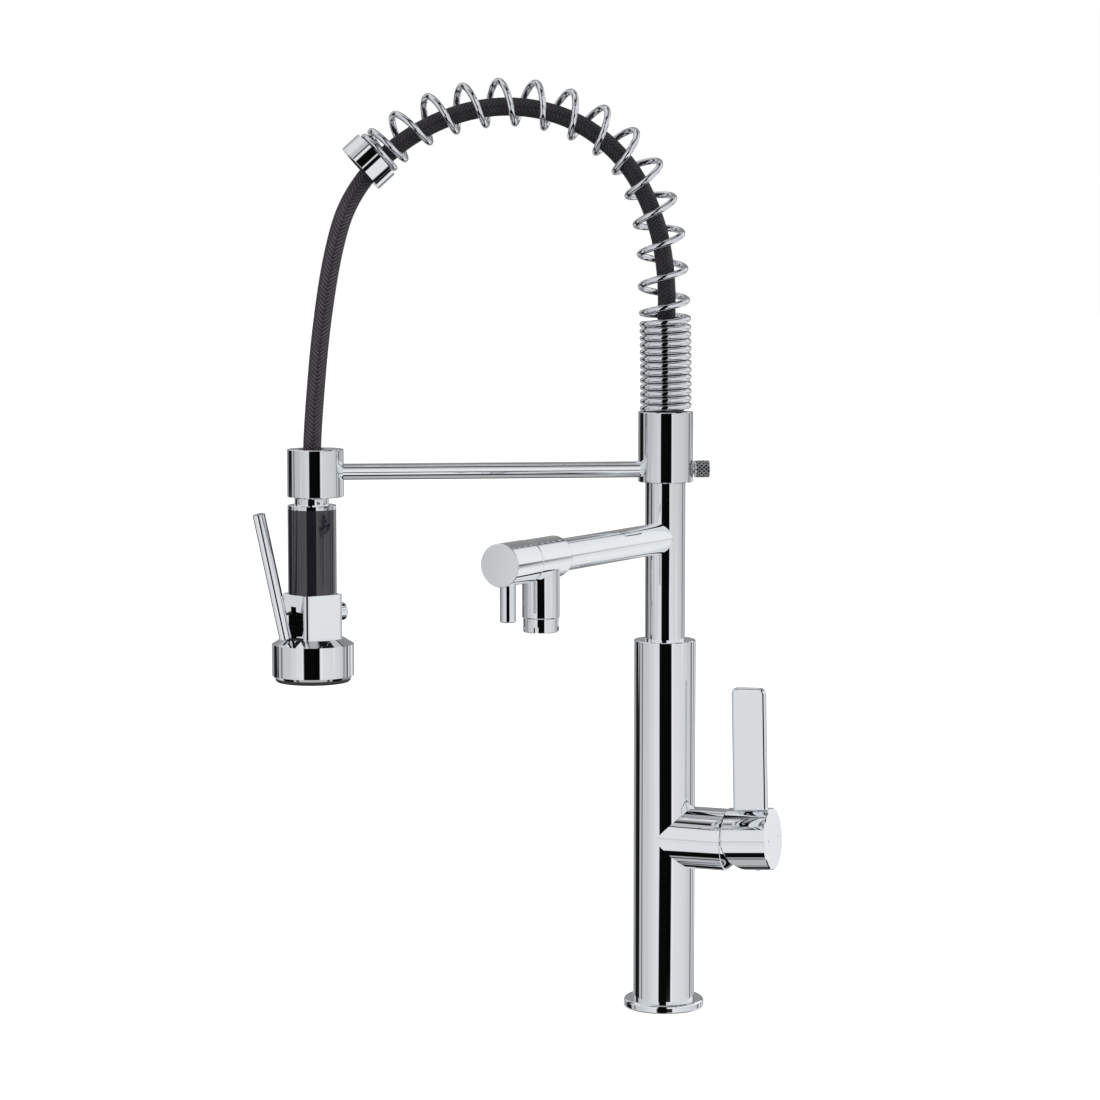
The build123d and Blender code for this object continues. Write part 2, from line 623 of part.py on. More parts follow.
# ---- Lever ----------------------------------------------------------------------------
lever_side = lever_upright(LEVER_RAISE)
blade_side = lever_upright(LEVER_RAISE - BLADE_LEAN)
hub_end = HUB_START + HUB_LENGTH
with BuildPart() as lever_handle:
    with BuildSketch(lever_side):
        with BuildLine():
            rim = (HUB_START, (HUB_HOLLOW**2 - HUB_START**2) ** 0.5)
            Polyline(
                (HUB_HOLLOW, 0), (hub_end, 0), (hub_end, HUB_RADIUS - HUB_EDGE),
                (hub_end - HUB_EDGE, HUB_RADIUS), (HUB_START, HUB_RADIUS), rim,
            )
            RadiusArc(rim, (HUB_HOLLOW, 0), HUB_HOLLOW)
        make_face()
    revolve(axis=Axis(pivot, lever_out))
    with BuildSketch(blade_side) as blade_outline:
        with BuildLine():
            Polyline(
                (BLADE_START, BLADE_FOOT),
                (BLADE_START, BLADE_TOP),
                (BLADE_START + BLADE_WIDTH, BLADE_TOP),
                (BLADE_START + BLADE_WIDTH, BLADE_FOOT),
                close=True,
            )
        make_face()
        fillet(blade_outline.vertices().group_by(Axis.Y)[-1], BLADE_CORNER)
    extrude(amount=BLADE_THICKNESS / 2, both=True)
    blade_rim = lever_handle.edges().filter_by(
        lambda e: abs(abs(e.center().Y) - BLADE_THICKNESS / 2) < 1e-3
        and lever_side.to_local_coords(e.center()).Y > HUB_RADIUS + PAST
    )
    fillet(blade_rim, BLADE_EDGE)
    with BuildSketch(lever_side):
        with BuildLine():
            Polyline(
                (HUB_START - PAST, PAST - HUB_CUT_DROP),
                (HUB_START - PAST, -HUB_RADIUS - PAST),
                (HUB_START + HUB_RADIUS + PAST - HUB_CUT_DROP, -HUB_RADIUS - PAST),
                close=True,
            )
        make_face()
    extrude(amount=HUB_RADIUS, both=True, mode=Mode.SUBTRACT)
    # The hub's lower edge is cut back to where the boss's face comes to at full flow.
    with BuildSketch(Plane(pivot, x_dir=(0, 1, 0), z_dir=lever_upright(LEVER_TRAVEL).x_dir)):
        Circle(2 * HUB_RADIUS)
    extrude(amount=BOSS_REACH - PIVOT_REACH + APART, mode=Mode.SUBTRACT)
    with BuildSketch(lever_plane):
        Rectangle(STEM_SIDE + 2 * SEATED, STEM_SIDE + 2 * SEATED)
    extrude(amount=STEM_END + APART, mode=Mode.SUBTRACT)
    screw_plane = Plane(lever_side.from_local_coords((SCREW_REACH, 0, 0)),
                        x_dir=(0, 1, 0), z_dir=-lever_plane.y_dir)
    with BuildSketch(screw_plane):
        Circle(SCREW_RADIUS)
    extrude(amount=HUB_RADIUS + PAST, mode=Mode.SUBTRACT)

with BuildPart() as lever_grub_screw:
    with BuildSketch(screw_plane.offset(STEM_SIDE / 2)):
        Circle(SCREW_RADIUS - SEATED)
    extrude(amount=SCREW_LENGTH)
    with BuildSketch(screw_plane.offset(STEM_SIDE / 2 + SCREW_LENGTH)):
        RegularPolygon(HEX_RADIUS, 6)
    extrude(amount=-HEX_DEPTH, mode=Mode.SUBTRACT)

with BuildPart() as screw_plug:
    with BuildSketch(screw_plane.offset(STEM_SIDE / 2 + SCREW_LENGTH)):
        Circle(SCREW_RADIUS - SEATED)
    extrude(amount=HUB_RADIUS + PLUG_PROUD - STEM_SIDE / 2 - SCREW_LENGTH)
    fillet(screw_plug.edges().sort_by(Axis.Z)[0], PLUG_EDGE)

# ---- Riser ----------------------------------------------------------------------------
spout_plane = upright(SPOUT_AZIMUTH)
with BuildPart() as riser_tube:
    with BuildSketch(Plane.XY.offset(RISER_BOTTOM)):
        Circle(RISER_RADIUS)
    extrude(amount=RISER_TOP - RISER_BOTTOM)
    for height in RING_HEIGHTS:
        with BuildSketch(Plane.XY.offset(height)):
            Circle(RISER_RADIUS)
            Circle(RISER_RADIUS - RING_GROOVE_DEPTH, mode=Mode.SUBTRACT)
        extrude(amount=RING_GROOVE_HEIGHT, mode=Mode.SUBTRACT)
    with BuildSketch(Plane.XY.offset(RETAINER_HEIGHT - RETAINER_RADIUS)):
        Circle(RISER_RADIUS)
        Circle(RISER_RADIUS - RETAINER_GROOVE, mode=Mode.SUBTRACT)
    extrude(amount=2 * RETAINER_RADIUS, mode=Mode.SUBTRACT)
    with BuildSketch(Plane.XY.offset(RISER_BOTTOM)):
        Circle(RISER_RADIUS - 2 * RISER_WALL)
    extrude(amount=COLUMN_TOP - RISER_BOTTOM, mode=Mode.SUBTRACT)
    with BuildSketch(Plane.XY.offset(COLUMN_TOP)):
        Circle(RISER_RADIUS - RISER_WALL)
    extrude(amount=RISER_TOP - COLUMN_TOP, mode=Mode.SUBTRACT)
    with BuildSketch(outward(SPOUT_AZIMUTH, 0, SPOUT_HEIGHT)):
        Circle(SPOUT_RADIUS - SPOUT_WALL)
    extrude(amount=RISER_RADIUS + PAST, mode=Mode.SUBTRACT)

with BuildPart() as riser_seals:
    for height in RING_HEIGHTS:
        with BuildSketch(Plane.XY.offset(height + SEATED)):
            Circle(RISER_RADIUS - RUNNING)
            Circle(RISER_RADIUS - RING_GROOVE_DEPTH + SEATED, mode=Mode.SUBTRACT)
        extrude(amount=RING_GROOVE_HEIGHT - 2 * SEATED)

with BuildPart() as side_spout:
    with BuildSketch(outward(SPOUT_AZIMUTH, 0, SPOUT_HEIGHT)):
        Circle(SPOUT_RADIUS)
        Circle(SPOUT_RADIUS - SPOUT_WALL, mode=Mode.SUBTRACT)
    extrude(amount=VALVE_START)
    with BuildSketch(Plane.XY.offset(SPOUT_HEIGHT - COLUMN_RADIUS)):
        Circle(RISER_RADIUS)
    extrude(amount=2 * COLUMN_RADIUS, mode=Mode.SUBTRACT)
    keep = side_spout.part.solids().sort_by(lambda s: s.center().dot(spout_plane.x_dir))[-1]
    add(keep, mode=Mode.REPLACE)

# ---- Side spout's valve ---------------------------------------------------------------
nozzle_level = level(NOZZLE_BOTTOM, NOZZLE_REACH, SPOUT_AZIMUTH)
with BuildPart() as spout_valve_body:
    with BuildSketch(outward(SPOUT_AZIMUTH, VALVE_START, SPOUT_HEIGHT)):
        Circle(VALVE_RADIUS)
    extrude(amount=KNOB_START - VALVE_START)
    inner_rim = spout_valve_body.faces().sort_by(lambda f: f.center().dot(spout_plane.x_dir))[0]
    fillet(inner_rim.edges(), VALVE_SHOULDER)
    outer_rim = spout_valve_body.faces().sort_by(lambda f: f.center().dot(spout_plane.x_dir))[-1]
    fillet(outer_rim.edges(), JOINT_EDGE)
    with BuildSketch(nozzle_level):
        Circle(NOZZLE_RADIUS)
    extrude(amount=SPOUT_HEIGHT - NOZZLE_BOTTOM)
    chamfer(spout_valve_body.edges().sort_by(Axis.Z)[0], NOZZLE_RADIUS - AERATOR_RADIUS - RUNNING)
    with BuildSketch(outward(SPOUT_AZIMUTH, KNOB_START, SPOUT_HEIGHT)):
        Circle(HEADWORK_RADIUS)
    extrude(amount=-HEADWORK_LENGTH, mode=Mode.SUBTRACT)
    with BuildSketch(outward(SPOUT_AZIMUTH, VALVE_START, SPOUT_HEIGHT)):
        Circle(SPOUT_RADIUS - SPOUT_WALL - WATER_STEP)
    extrude(amount=KNOB_START - HEADWORK_LENGTH - VALVE_START, mode=Mode.SUBTRACT)
    with BuildSketch(nozzle_level):
        Circle(AERATOR_RADIUS - AERATOR_SEAT)
    extrude(amount=SPOUT_HEIGHT - NOZZLE_BOTTOM - VALVE_RADIUS / 2, mode=Mode.SUBTRACT)

with BuildPart() as aerator_ring:
    with BuildSketch(level(AERATOR_BOTTOM, NOZZLE_REACH, SPOUT_AZIMUTH)):
        Circle(AERATOR_RADIUS)
        Circle(AERATOR_RADIUS - AERATOR_WALL, mode=Mode.SUBTRACT)
    extrude(amount=NOZZLE_BOTTOM - AERATOR_BOTTOM)
    chamfer(aerator_ring.edges().group_by(Axis.Z)[0], SMALL_EDGE)
    with BuildSketch(level(AERATOR_BOTTOM, NOZZLE_REACH, SPOUT_AZIMUTH, NOTCH_AZIMUTH)):
        with PolarLocations(AERATOR_RADIUS, AERATOR_NOTCHES):
            Rectangle(2 * NOTCH_DEPTH, NOTCH_WIDTH)
    extrude(amount=NOTCH_HEIGHT, mode=Mode.SUBTRACT)
    with BuildSketch(nozzle_level):
        Circle(AERATOR_RADIUS - AERATOR_SEAT - SEATED)
        Circle(AERATOR_RADIUS - AERATOR_WALL, mode=Mode.SUBTRACT)
    extrude(amount=AERATOR_TENON)

with BuildPart() as aerator_insert:
    with BuildSketch(level(AERATOR_BOTTOM + AERATOR_RAISE, NOZZLE_REACH, SPOUT_AZIMUTH)):
        Circle(AERATOR_RADIUS - AERATOR_WALL - SEATED)
        for radius, count in AERATOR_RINGS:
            with PolarLocations(radius, count):
                Circle(AERATOR_HOLE, mode=Mode.SUBTRACT)
    extrude(amount=AERATOR_LENGTH)

with BuildPart() as spout_headwork:
    with BuildSketch(outward(SPOUT_AZIMUTH, KNOB_START - HEADWORK_LENGTH + APART, SPOUT_HEIGHT)):
        Circle(HEADWORK_RADIUS - SEATED)
        Circle(SPINDLE_RADIUS + RUNNING, mode=Mode.SUBTRACT)
    extrude(amount=HEADWORK_LENGTH + HEADWORK_PROUD)

with BuildPart() as spout_spindle:
    with BuildSketch(outward(SPOUT_AZIMUTH, KNOB_START - HEADWORK_LENGTH - SPINDLE_TAIL, SPOUT_HEIGHT)):
        Circle(SPINDLE_RADIUS)
    extrude(amount=SPINDLE_TAIL + HEADWORK_LENGTH + SPINDLE_NOSE)

with BuildPart() as side_knob:
    with BuildSketch(outward(SPOUT_AZIMUTH, KNOB_START + KNOB_GAP, SPOUT_HEIGHT)):
        Circle(KNOB_RADIUS)
    extrude(amount=KNOB_END - KNOB_START - KNOB_GAP)
    knob_faces = side_knob.faces().sort_by(lambda f: f.center().dot(spout_plane.x_dir))
    fillet(knob_faces[-1].edges(), KNOB_EDGE)
    fillet(knob_faces[0].edges(), JOINT_EDGE)
    with BuildSketch(outward(SPOUT_AZIMUTH, KNOB_START, SPOUT_HEIGHT)):
        Circle(HEADWORK_RADIUS + KNOB_POCKET_PLAY)
    extrude(amount=KNOB_POCKET, mode=Mode.SUBTRACT)
    with BuildSketch(outward(SPOUT_AZIMUTH, KNOB_START, SPOUT_HEIGHT)):
        Circle(SPINDLE_RADIUS)
    extrude(amount=KNOB_SOCKET, mode=Mode.SUBTRACT)
    with BuildSketch(level(SPOUT_HEIGHT, KNOB_PIN_REACH, SPOUT_AZIMUTH)):
        Circle(KNOB_TENON)
    extrude(amount=-KNOB_RADIUS, mode=Mode.SUBTRACT)

with BuildPart() as knob_pin:
    with BuildSketch(level(KNOB_PIN_BOTTOM, KNOB_PIN_REACH, SPOUT_AZIMUTH)):
        Circle(KNOB_PIN_RADIUS)
    extrude(amount=SPOUT_HEIGHT - KNOB_PIN_BOTTOM - KNOB_RADIUS / 2)
    fillet(knob_pin.edges().sort_by(Axis.Z)[0], KNOB_PIN_EDGE)
    with BuildSketch(outward(SPOUT_AZIMUTH, KNOB_START, SPOUT_HEIGHT)):
        Circle(KNOB_RADIUS)
    extrude(amount=KNOB_END - KNOB_START, mode=Mode.SUBTRACT)
    with BuildSketch(level(SPOUT_HEIGHT - KNOB_RADIUS - PAST, KNOB_PIN_REACH, SPOUT_AZIMUTH)):
        Circle(KNOB_TENON - SEATED)
    extrude(amount=KNOB_RADIUS)

# ---- Spring holder on the riser -------------------------------------------------------
with BuildPart() as spring_holder:
    with BuildSketch(Plane.XY.offset(RISER_TOP - HOLDER_TENON)):
        Circle(RISER_RADIUS - RISER_WALL - SEATED)
    extrude(amount=HOLDER_TENON)
    with BuildSketch(Plane.XY.offset(RISER_TOP)):
        Circle(RISER_RADIUS)
    extrude(amount=COLLAR_TOP - RISER_TOP)
    with BuildSketch(Plane.XY.offset(COLLAR_TOP)):
        Circle(HOLDER_RADIUS)
    extrude(amount=HOLDER_HEIGHT)
    with BuildSketch(Plane.XY.offset(RISER_TOP - HOLDER_TENON)):
        Circle(NIPPLE_RADIUS + RUNNING)
    extrude(amount=COLLAR_TOP + HOLDER_HEIGHT, mode=Mode.SUBTRACT)
    with BuildSketch(Plane.XY.offset(COLLAR_TOP)):
        Circle(FERRULE_RADIUS + RUNNING)
    extrude(amount=HOLDER_HEIGHT, mode=Mode.SUBTRACT)

with BuildPart() as hose_ferrule:
    with BuildSketch(Plane.XY.offset(COLLAR_TOP + APART)):
        Circle(FERRULE_RADIUS)
    extrude(amount=hose_foot - COLLAR_TOP - APART)
    with BuildSketch(Plane.XY.offset(RISER_TOP - NIPPLE_LENGTH)):
        Circle(NIPPLE_RADIUS)
    extrude(amount=NIPPLE_LENGTH + COLLAR_TOP - RISER_TOP + APART)
    with BuildSketch(Plane.XY.offset(RISER_TOP - NIPPLE_LENGTH)):
        Circle(NIPPLE_RADIUS - NIPPLE_WALL)
    extrude(amount=hose_foot, mode=Mode.SUBTRACT)

# ---- Arm ------------------------------------------------------------------------------
with BuildPart() as arm_collar:
    with BuildSketch(Plane.XY.offset(COLLAR_BOTTOM)):
        Circle(COLLAR_RADIUS)
        Circle(RISER_RADIUS + RUNNING, mode=Mode.SUBTRACT)
    extrude(amount=COLLAR_TOP - COLLAR_BOTTOM)
    chamfer(rims_of(arm_collar, COLLAR_RADIUS), SMALL_EDGE)
    with BuildSketch(outward(ARM_AZIMUTH, RISER_RADIUS, ARM_HEIGHT)):
        Circle(ROD_BORE)
    extrude(amount=COLLAR_RADIUS, mode=Mode.SUBTRACT)
    with BuildSketch(outward(ARM_AZIMUTH + 180, RISER_RADIUS, ARM_HEIGHT)):
        Circle(SCREW_SHANK_RADIUS + RUNNING)
    extrude(amount=COLLAR_RADIUS, mode=Mode.SUBTRACT)

with BuildPart() as arm_rod:
    with BuildSketch(outward(ARM_AZIMUTH, RISER_RADIUS, ARM_HEIGHT)):
        Circle(ARM_ROD_RADIUS)
    extrude(amount=ARM_REACH - RISER_RADIUS)
    with BuildSketch(Plane.XY.offset(COLLAR_BOTTOM)):
        Circle(COLLAR_RADIUS)
    extrude(amount=COLLAR_TOP - COLLAR_BOTTOM, mode=Mode.SUBTRACT)
    with BuildSketch(level(DOCK_BOTTOM, ARM_REACH, ARM_AZIMUTH)):
        Circle(DOCK_RADIUS)
    extrude(amount=DOCK_TOP - DOCK_BOTTOM, mode=Mode.SUBTRACT)
    with BuildSketch(outward(ARM_AZIMUTH, RISER_RADIUS + PAST, ARM_HEIGHT)):
        Circle(ROD_BORE - SEATED)
    extrude(amount=COLLAR_RADIUS - RISER_RADIUS)

liner_top = NECK_TOP + APART + LINER_WALL
with BuildPart() as dock_ring:
    with BuildSketch(level(DOCK_BOTTOM, ARM_REACH, ARM_AZIMUTH)):
        Circle(DOCK_RADIUS)
    extrude(amount=DOCK_TOP - DOCK_BOTTOM)
    chamfer(dock_ring.edges(), SMALL_EDGE)
    with BuildSketch(level(DOCK_BOTTOM, SPRAY_REACH, ARM_AZIMUTH)):
        Circle(DOCK_BORE)
    extrude(amount=liner_top - DOCK_BOTTOM, mode=Mode.SUBTRACT)
    with BuildSketch(level(DOCK_BOTTOM, SPRAY_REACH, ARM_AZIMUTH)):
        Circle(DOCK_HOLE)
    extrude(amount=DOCK_TOP - DOCK_BOTTOM, mode=Mode.SUBTRACT)

arm_side = upright(ARM_AZIMUTH)
with BuildPart() as dock_liner:
    with BuildSketch(arm_side):
        with BuildLine():
            Polyline(
                (SPRAY_REACH + DOCK_BORE - SEATED, DOCK_BOTTOM),
                (SPRAY_REACH + DOCK_BORE - SEATED, liner_top),
                (SPRAY_REACH + DOCK_HOLE, liner_top),
                (SPRAY_REACH + DOCK_HOLE, NECK_TOP + APART),
                (SPRAY_REACH + CONE_TOP_RADIUS + APART, NECK_TOP + APART),
                (SPRAY_REACH + CONE_RADIUS + APART, DOCK_BOTTOM),
                close=True,
            )
        make_face()
    revolve(axis=spray_axis)

with BuildPart() as thumb_screw:
    head_start = COLLAR_RADIUS + SCREW_HEAD_GAP
    with BuildSketch(outward(ARM_AZIMUTH + 180, head_start, ARM_HEIGHT)):
        Circle(SCREW_HEAD_RADIUS)
    extrude(amount=SCREW_HEAD_LENGTH)
    chamfer(thumb_screw.edges(), SCREW_HEAD_EDGE)
    with BuildSketch(outward(ARM_AZIMUTH + 180, RISER_RADIUS + APART, ARM_HEIGHT)):
        Circle(SCREW_SHANK_RADIUS)
    extrude(amount=head_start - RISER_RADIUS - APART)

# ---- Support spring -------------------------------------------------------------------
# The wire is one solid: a six-sided section is carried round a path that bends over the
# arm, a fixed number of times a turn, and the pitch grows from the close turns at the foot
# to the open turns of the arch and shrinks again into the end sleeve.
with BuildLine(arm_side) as spring_path:
    FilletPolyline(*spring_route, radius=route_radii(spring_route))
spring_line = spring_path.wire()
arm_across = arm_side.z_dir


def pitch_at(run):
    """The spring's pitch at a distance along its path."""
    left = spring_line.length - run
    opening = min(max((run - CLOSED_LENGTH) / PITCH_RAMP, 0), 1)
    closing = min(max((left - END_CLOSED) / END_RAMP, 0), 1)
    return CLOSED_PITCH + (OPEN_PITCH - CLOSED_PITCH) * min(opening, closing)


def coil_radius_at(run):
    """The radius of the wire's centre line, which is wider round the spring holder."""
    share = min(max((run - CLOSED_LENGTH) / PITCH_RAMP, 0), 1)
    return CLOSED_COIL + (OPEN_COIL - CLOSED_COIL) * share


def wire_centre(run, turn):
    """The wire's centre at a distance along the path and an angle round it."""
    share = run / spring_line.length
    spot, along = spring_line @ share, spring_line % share
    outer = along.cross(arm_across)
    around = outer * cos(radians(turn)) - arm_across * sin(radians(turn))
    return spot + around * coil_radius_at(run)


runs = [WIRE_RADIUS + APART]
while runs[-1] < spring_line.length - SLEEVE_LIP - WIRE_RADIUS - APART:
    runs.append(runs[-1] + pitch_at(runs[-1]) / SECTIONS_PER_TURN)
runs.pop()
turns = [COIL_START + 360 * n / SECTIONS_PER_TURN for n in range(len(runs))]
centres = [wire_centre(run, turn) for run, turn in zip(runs, turns)]
wire_sections = []
for n, centre in enumerate(centres):
    along = centres[min(n + 1, len(centres) - 1)] - centres[max(n - 1, 0)]
    spot = spring_line @ (runs[n] / spring_line.length)
    flat = Plane(centre, x_dir=(centre - spot).cross(along), z_dir=along)
    wire_sections.append(flat * RegularPolygon(WIRE_SECTION, 6))
with BuildPart() as support_spring:
    loft(sections=[section.face() for section in wire_sections], ruled=True)

sleeve_plane = Plane(spring_line @ 1, x_dir=arm_across, z_dir=spring_line % 1)
with BuildPart() as spring_sleeve:
    with BuildSketch(sleeve_plane):
        Circle(SLEEVE_RADIUS)
        Circle(SLEEVE_HOLE, mode=Mode.SUBTRACT)
    extrude(amount=-SLEEVE_LIP)
    with BuildSketch(sleeve_plane):
        Circle(SLEEVE_RADIUS)
        Circle(OPEN_COIL + WIRE_SECTION + APART, mode=Mode.SUBTRACT)
    extrude(amount=-SLEEVE_LENGTH)

# ---- Hose -----------------------------------------------------------------------------
hose_radii = route_radii(hose_route)
print("hose radii", [round(radius) for radius in hose_radii])
with BuildPart() as spray_hose:
    with BuildLine(arm_side) as hose_path:
        FilletPolyline(*hose_route, radius=hose_radii)
    with BuildSketch(level(hose_foot)) as hose_section:
        Circle(HOSE_RADIUS)
    sweep(path=hose_path.wire())
hose_length = hose_path.wire().length
hose_share = spray_hose.part.volume / (hose_section.sketch.area * hose_length)
print(f"hose length {hose_length:.1f} mm, volume over section times length {hose_share:.4f}")

# ---- Hand spray -----------------------------------------------------------------------
with BuildPart() as neck_cone:
    with BuildSketch(arm_side):
        with BuildLine():
            Polyline(
                (SPRAY_REACH, SWIVEL_BOTTOM),
                (SPRAY_REACH + SWIVEL_RADIUS, SWIVEL_BOTTOM),
                (SPRAY_REACH + SWIVEL_RADIUS, RING_TOP),
                (SPRAY_REACH + NECK_RADIUS, RING_TOP),
                (SPRAY_REACH + NECK_RADIUS, DOCK_BOTTOM - NECK_STEP),
                (SPRAY_REACH + CONE_RADIUS, DOCK_BOTTOM),
                (SPRAY_REACH + CONE_TOP_RADIUS, NECK_TOP),
                (SPRAY_REACH, NECK_TOP),
                close=True,
            )
        make_face()
    revolve(axis=spray_axis)
    with BuildSketch(spray_level(hose_end)):
        Circle(HOSE_RADIUS + SEATED)
    extrude(amount=NECK_TOP - hose_end, mode=Mode.SUBTRACT)
    with BuildSketch(spray_level(SWIVEL_BOTTOM)):
        Circle(NIPPLE_RADIUS)
    extrude(amount=hose_end - SWIVEL_BOTTOM, mode=Mode.SUBTRACT)

with BuildPart() as grip_ring:
    with BuildSketch(spray_level(GRIP_TOP)):
        Circle(GRIP_RADIUS)
    extrude(amount=RING_TOP - GRIP_TOP)
    chamfer(grip_ring.edges().sort_by(Axis.Z)[-1], RING_EDGE)
    with BuildSketch(spray_level(SKIRT_BOTTOM)):
        Circle(RING_SKIRT)
    extrude(amount=GRIP_TOP - SKIRT_BOTTOM)
    with BuildSketch(spray_level(SKIRT_BOTTOM)):
        Circle(SWIVEL_RADIUS + RUNNING)
    extrude(amount=RING_TOP - SKIRT_BOTTOM, mode=Mode.SUBTRACT)

with BuildPart() as swivel_clip:
    with BuildSketch(spray_level(SKIRT_BOTTOM - APART)):
        Circle(SWIVEL_RADIUS + CLIP_WALL)
        Circle(SWIVEL_RADIUS + SEATED, mode=Mode.SUBTRACT)
    extrude(amount=-CLIP_WALL)

with BuildPart() as grip_sleeve:
    with BuildSketch(spray_level(BLOCK_TOP)):
        Circle(GRIP_RADIUS)
        Circle(GRIP_RADIUS - GRIP_WALL, mode=Mode.SUBTRACT)
    extrude(amount=GRIP_TOP - BLOCK_TOP)

with BuildPart() as inner_tube:
    with BuildSketch(spray_level(BLOCK_TOP - TUBE_SEAT)):
        Circle(TUBE_RADIUS)
        Circle(TUBE_RADIUS - TUBE_WALL, mode=Mode.SUBTRACT)
    extrude(amount=CUP_BOTTOM - BLOCK_TOP + TUBE_SEAT)
    with BuildSketch(spray_level(CUP_BOTTOM)):
        Circle(CUP_RADIUS)
        Circle(TUBE_RADIUS - TUBE_WALL, mode=Mode.SUBTRACT)
    extrude(amount=CUP_FLOOR)
    with BuildSketch(spray_level(CUP_BOTTOM)):
        Circle(CUP_RADIUS)
        Circle(CUP_RADIUS - TUBE_WALL, mode=Mode.SUBTRACT)
    extrude(amount=SKIRT_BOTTOM - CUP_BOTTOM)

# The block is bored down its middle for the water and across for the plunger, and slotted on
# the trigger's side for the lug that pushes the plunger.
with BuildPart() as valve_block:
    with BuildSketch(spray_level(BLOCK_BOTTOM)):
        RectangleRounded(BLOCK_DEPTH, BLOCK_WIDTH, BLOCK_CORNER)
    extrude(amount=BLOCK_TOP - BLOCK_BOTTOM)
    with BuildSketch(spray_level(BLOCK_TOP)):
        Circle(TUBE_RADIUS + SEATED)
    extrude(amount=-TUBE_SEAT, mode=Mode.SUBTRACT)
    with BuildSketch(spray_out(-BLOCK_DEPTH / 2, PLUNGER_HEIGHT)):
        Circle(CHAMBER_RADIUS)
    extrude(amount=BLOCK_DEPTH / 2 + CHAMBER_END, mode=Mode.SUBTRACT)
    with BuildSketch(spray_out(CHAMBER_END - PAST, PLUNGER_HEIGHT)):
        Circle(PLUNGER_RADIUS + RUNNING)
    extrude(amount=SLOT_FLOOR - CHAMBER_END + PAST, mode=Mode.SUBTRACT)
    with BuildSketch(spray_level(PLUNGER_HEIGHT)):
        with Locations((-WATERWAY_OFFSET, 0)):
            Circle(WATERWAY_RADIUS)
    extrude(amount=BLOCK_TOP - TUBE_SEAT - PLUNGER_HEIGHT, mode=Mode.SUBTRACT)
    with BuildSketch(spray_level(BLOCK_BOTTOM)):
        with Locations((-WATERWAY_OFFSET, 0)):
            Circle(WATERWAY_RADIUS)
    extrude(amount=PLUNGER_HEIGHT - BLOCK_BOTTOM, mode=Mode.SUBTRACT)
    with BuildSketch(spray_side):
        with Locations((SLOT_FLOOR, BLOCK_BOTTOM + SLOT_SILL)):
            Rectangle(BLOCK_DEPTH, SLOT_TOP - BLOCK_BOTTOM - SLOT_SILL, align=(Align.MIN, Align.MIN))
    extrude(amount=LUG_WIDTH / 2 + SLOT_PLAY, both=True, mode=Mode.SUBTRACT)
    with BuildSketch(spray_side):
        with Locations((TRIGGER_PIVOT_REACH, TRIGGER_PIVOT_HEIGHT)):
            Circle(TRIGGER_PIN_RADIUS)
    extrude(amount=BLOCK_WIDTH / 2 - PIN_INSET, both=True, mode=Mode.SUBTRACT)

with BuildPart() as trigger_pin:
    with BuildSketch(spray_side):
        with Locations((TRIGGER_PIVOT_REACH, TRIGGER_PIVOT_HEIGHT)):
            Circle(TRIGGER_PIN_RADIUS)
    extrude(amount=BLOCK_WIDTH / 2 - PIN_INSET, both=True)

rod_rise = TRIGGER_TOP_HEIGHT - TRIGGER_FOOT_HEIGHT
rod_length = hypot(TRIGGER_TOP_REACH - TRIGGER_FOOT_REACH, rod_rise)
rod_start = spray_side.from_local_coords((TRIGGER_FOOT_REACH, TRIGGER_FOOT_HEIGHT, 0))
rod_end = spray_side.from_local_coords((TRIGGER_TOP_REACH, TRIGGER_TOP_HEIGHT, 0))
rod_plane = Plane(rod_start, x_dir=spray_side.z_dir, z_dir=rod_end - rod_start)
with BuildPart() as trigger_rod:
    with BuildSketch(rod_plane):
        Circle(TRIGGER_RADIUS)
    extrude(amount=rod_length)
    chamfer(trigger_rod.edges().sort_by(Axis.Z)[-1], SMALL_EDGE)
    with BuildSketch(spray_side):
        with BuildLine():
            Polyline(
                (TRIGGER_PIVOT_REACH - LUG_BACK, TRIGGER_PIVOT_HEIGHT - LUG_FOOT),
                (TRIGGER_FOOT_REACH, TRIGGER_PIVOT_HEIGHT - LUG_FOOT),
                (TRIGGER_FOOT_REACH + PAST, PLUNGER_HEIGHT),
                (TRIGGER_PIVOT_REACH, PLUNGER_HEIGHT + LUG_HALF),
                (LUG_NOSE + LUG_SLOPE, PLUNGER_HEIGHT + LUG_HALF),
                (LUG_NOSE, PLUNGER_HEIGHT),
                (LUG_NOSE + LUG_SLOPE, PLUNGER_HEIGHT - LUG_HALF),
                close=True,
            )
        make_face()
    extrude(amount=LUG_WIDTH / 2, both=True)
    with BuildSketch(spray_side):
        with Locations((TRIGGER_PIVOT_REACH, TRIGGER_PIVOT_HEIGHT)):
            Circle(TRIGGER_PIN_RADIUS + RUNNING)
    extrude(amount=LUG_WIDTH, both=True, mode=Mode.SUBTRACT)

with BuildPart() as valve_plunger:
    with BuildSketch(spray_out(HEAD_BACK, PLUNGER_HEIGHT)):
        Circle(CHAMBER_RADIUS - HEAD_PLAY)
    extrude(amount=CHAMBER_END - HEAD_BACK - APART)
    with BuildSketch(spray_out(HEAD_BACK, PLUNGER_HEIGHT)):
        Circle(PLUNGER_RADIUS)
    extrude(amount=LUG_NOSE - HEAD_BACK - PLUNGER_PLAY)

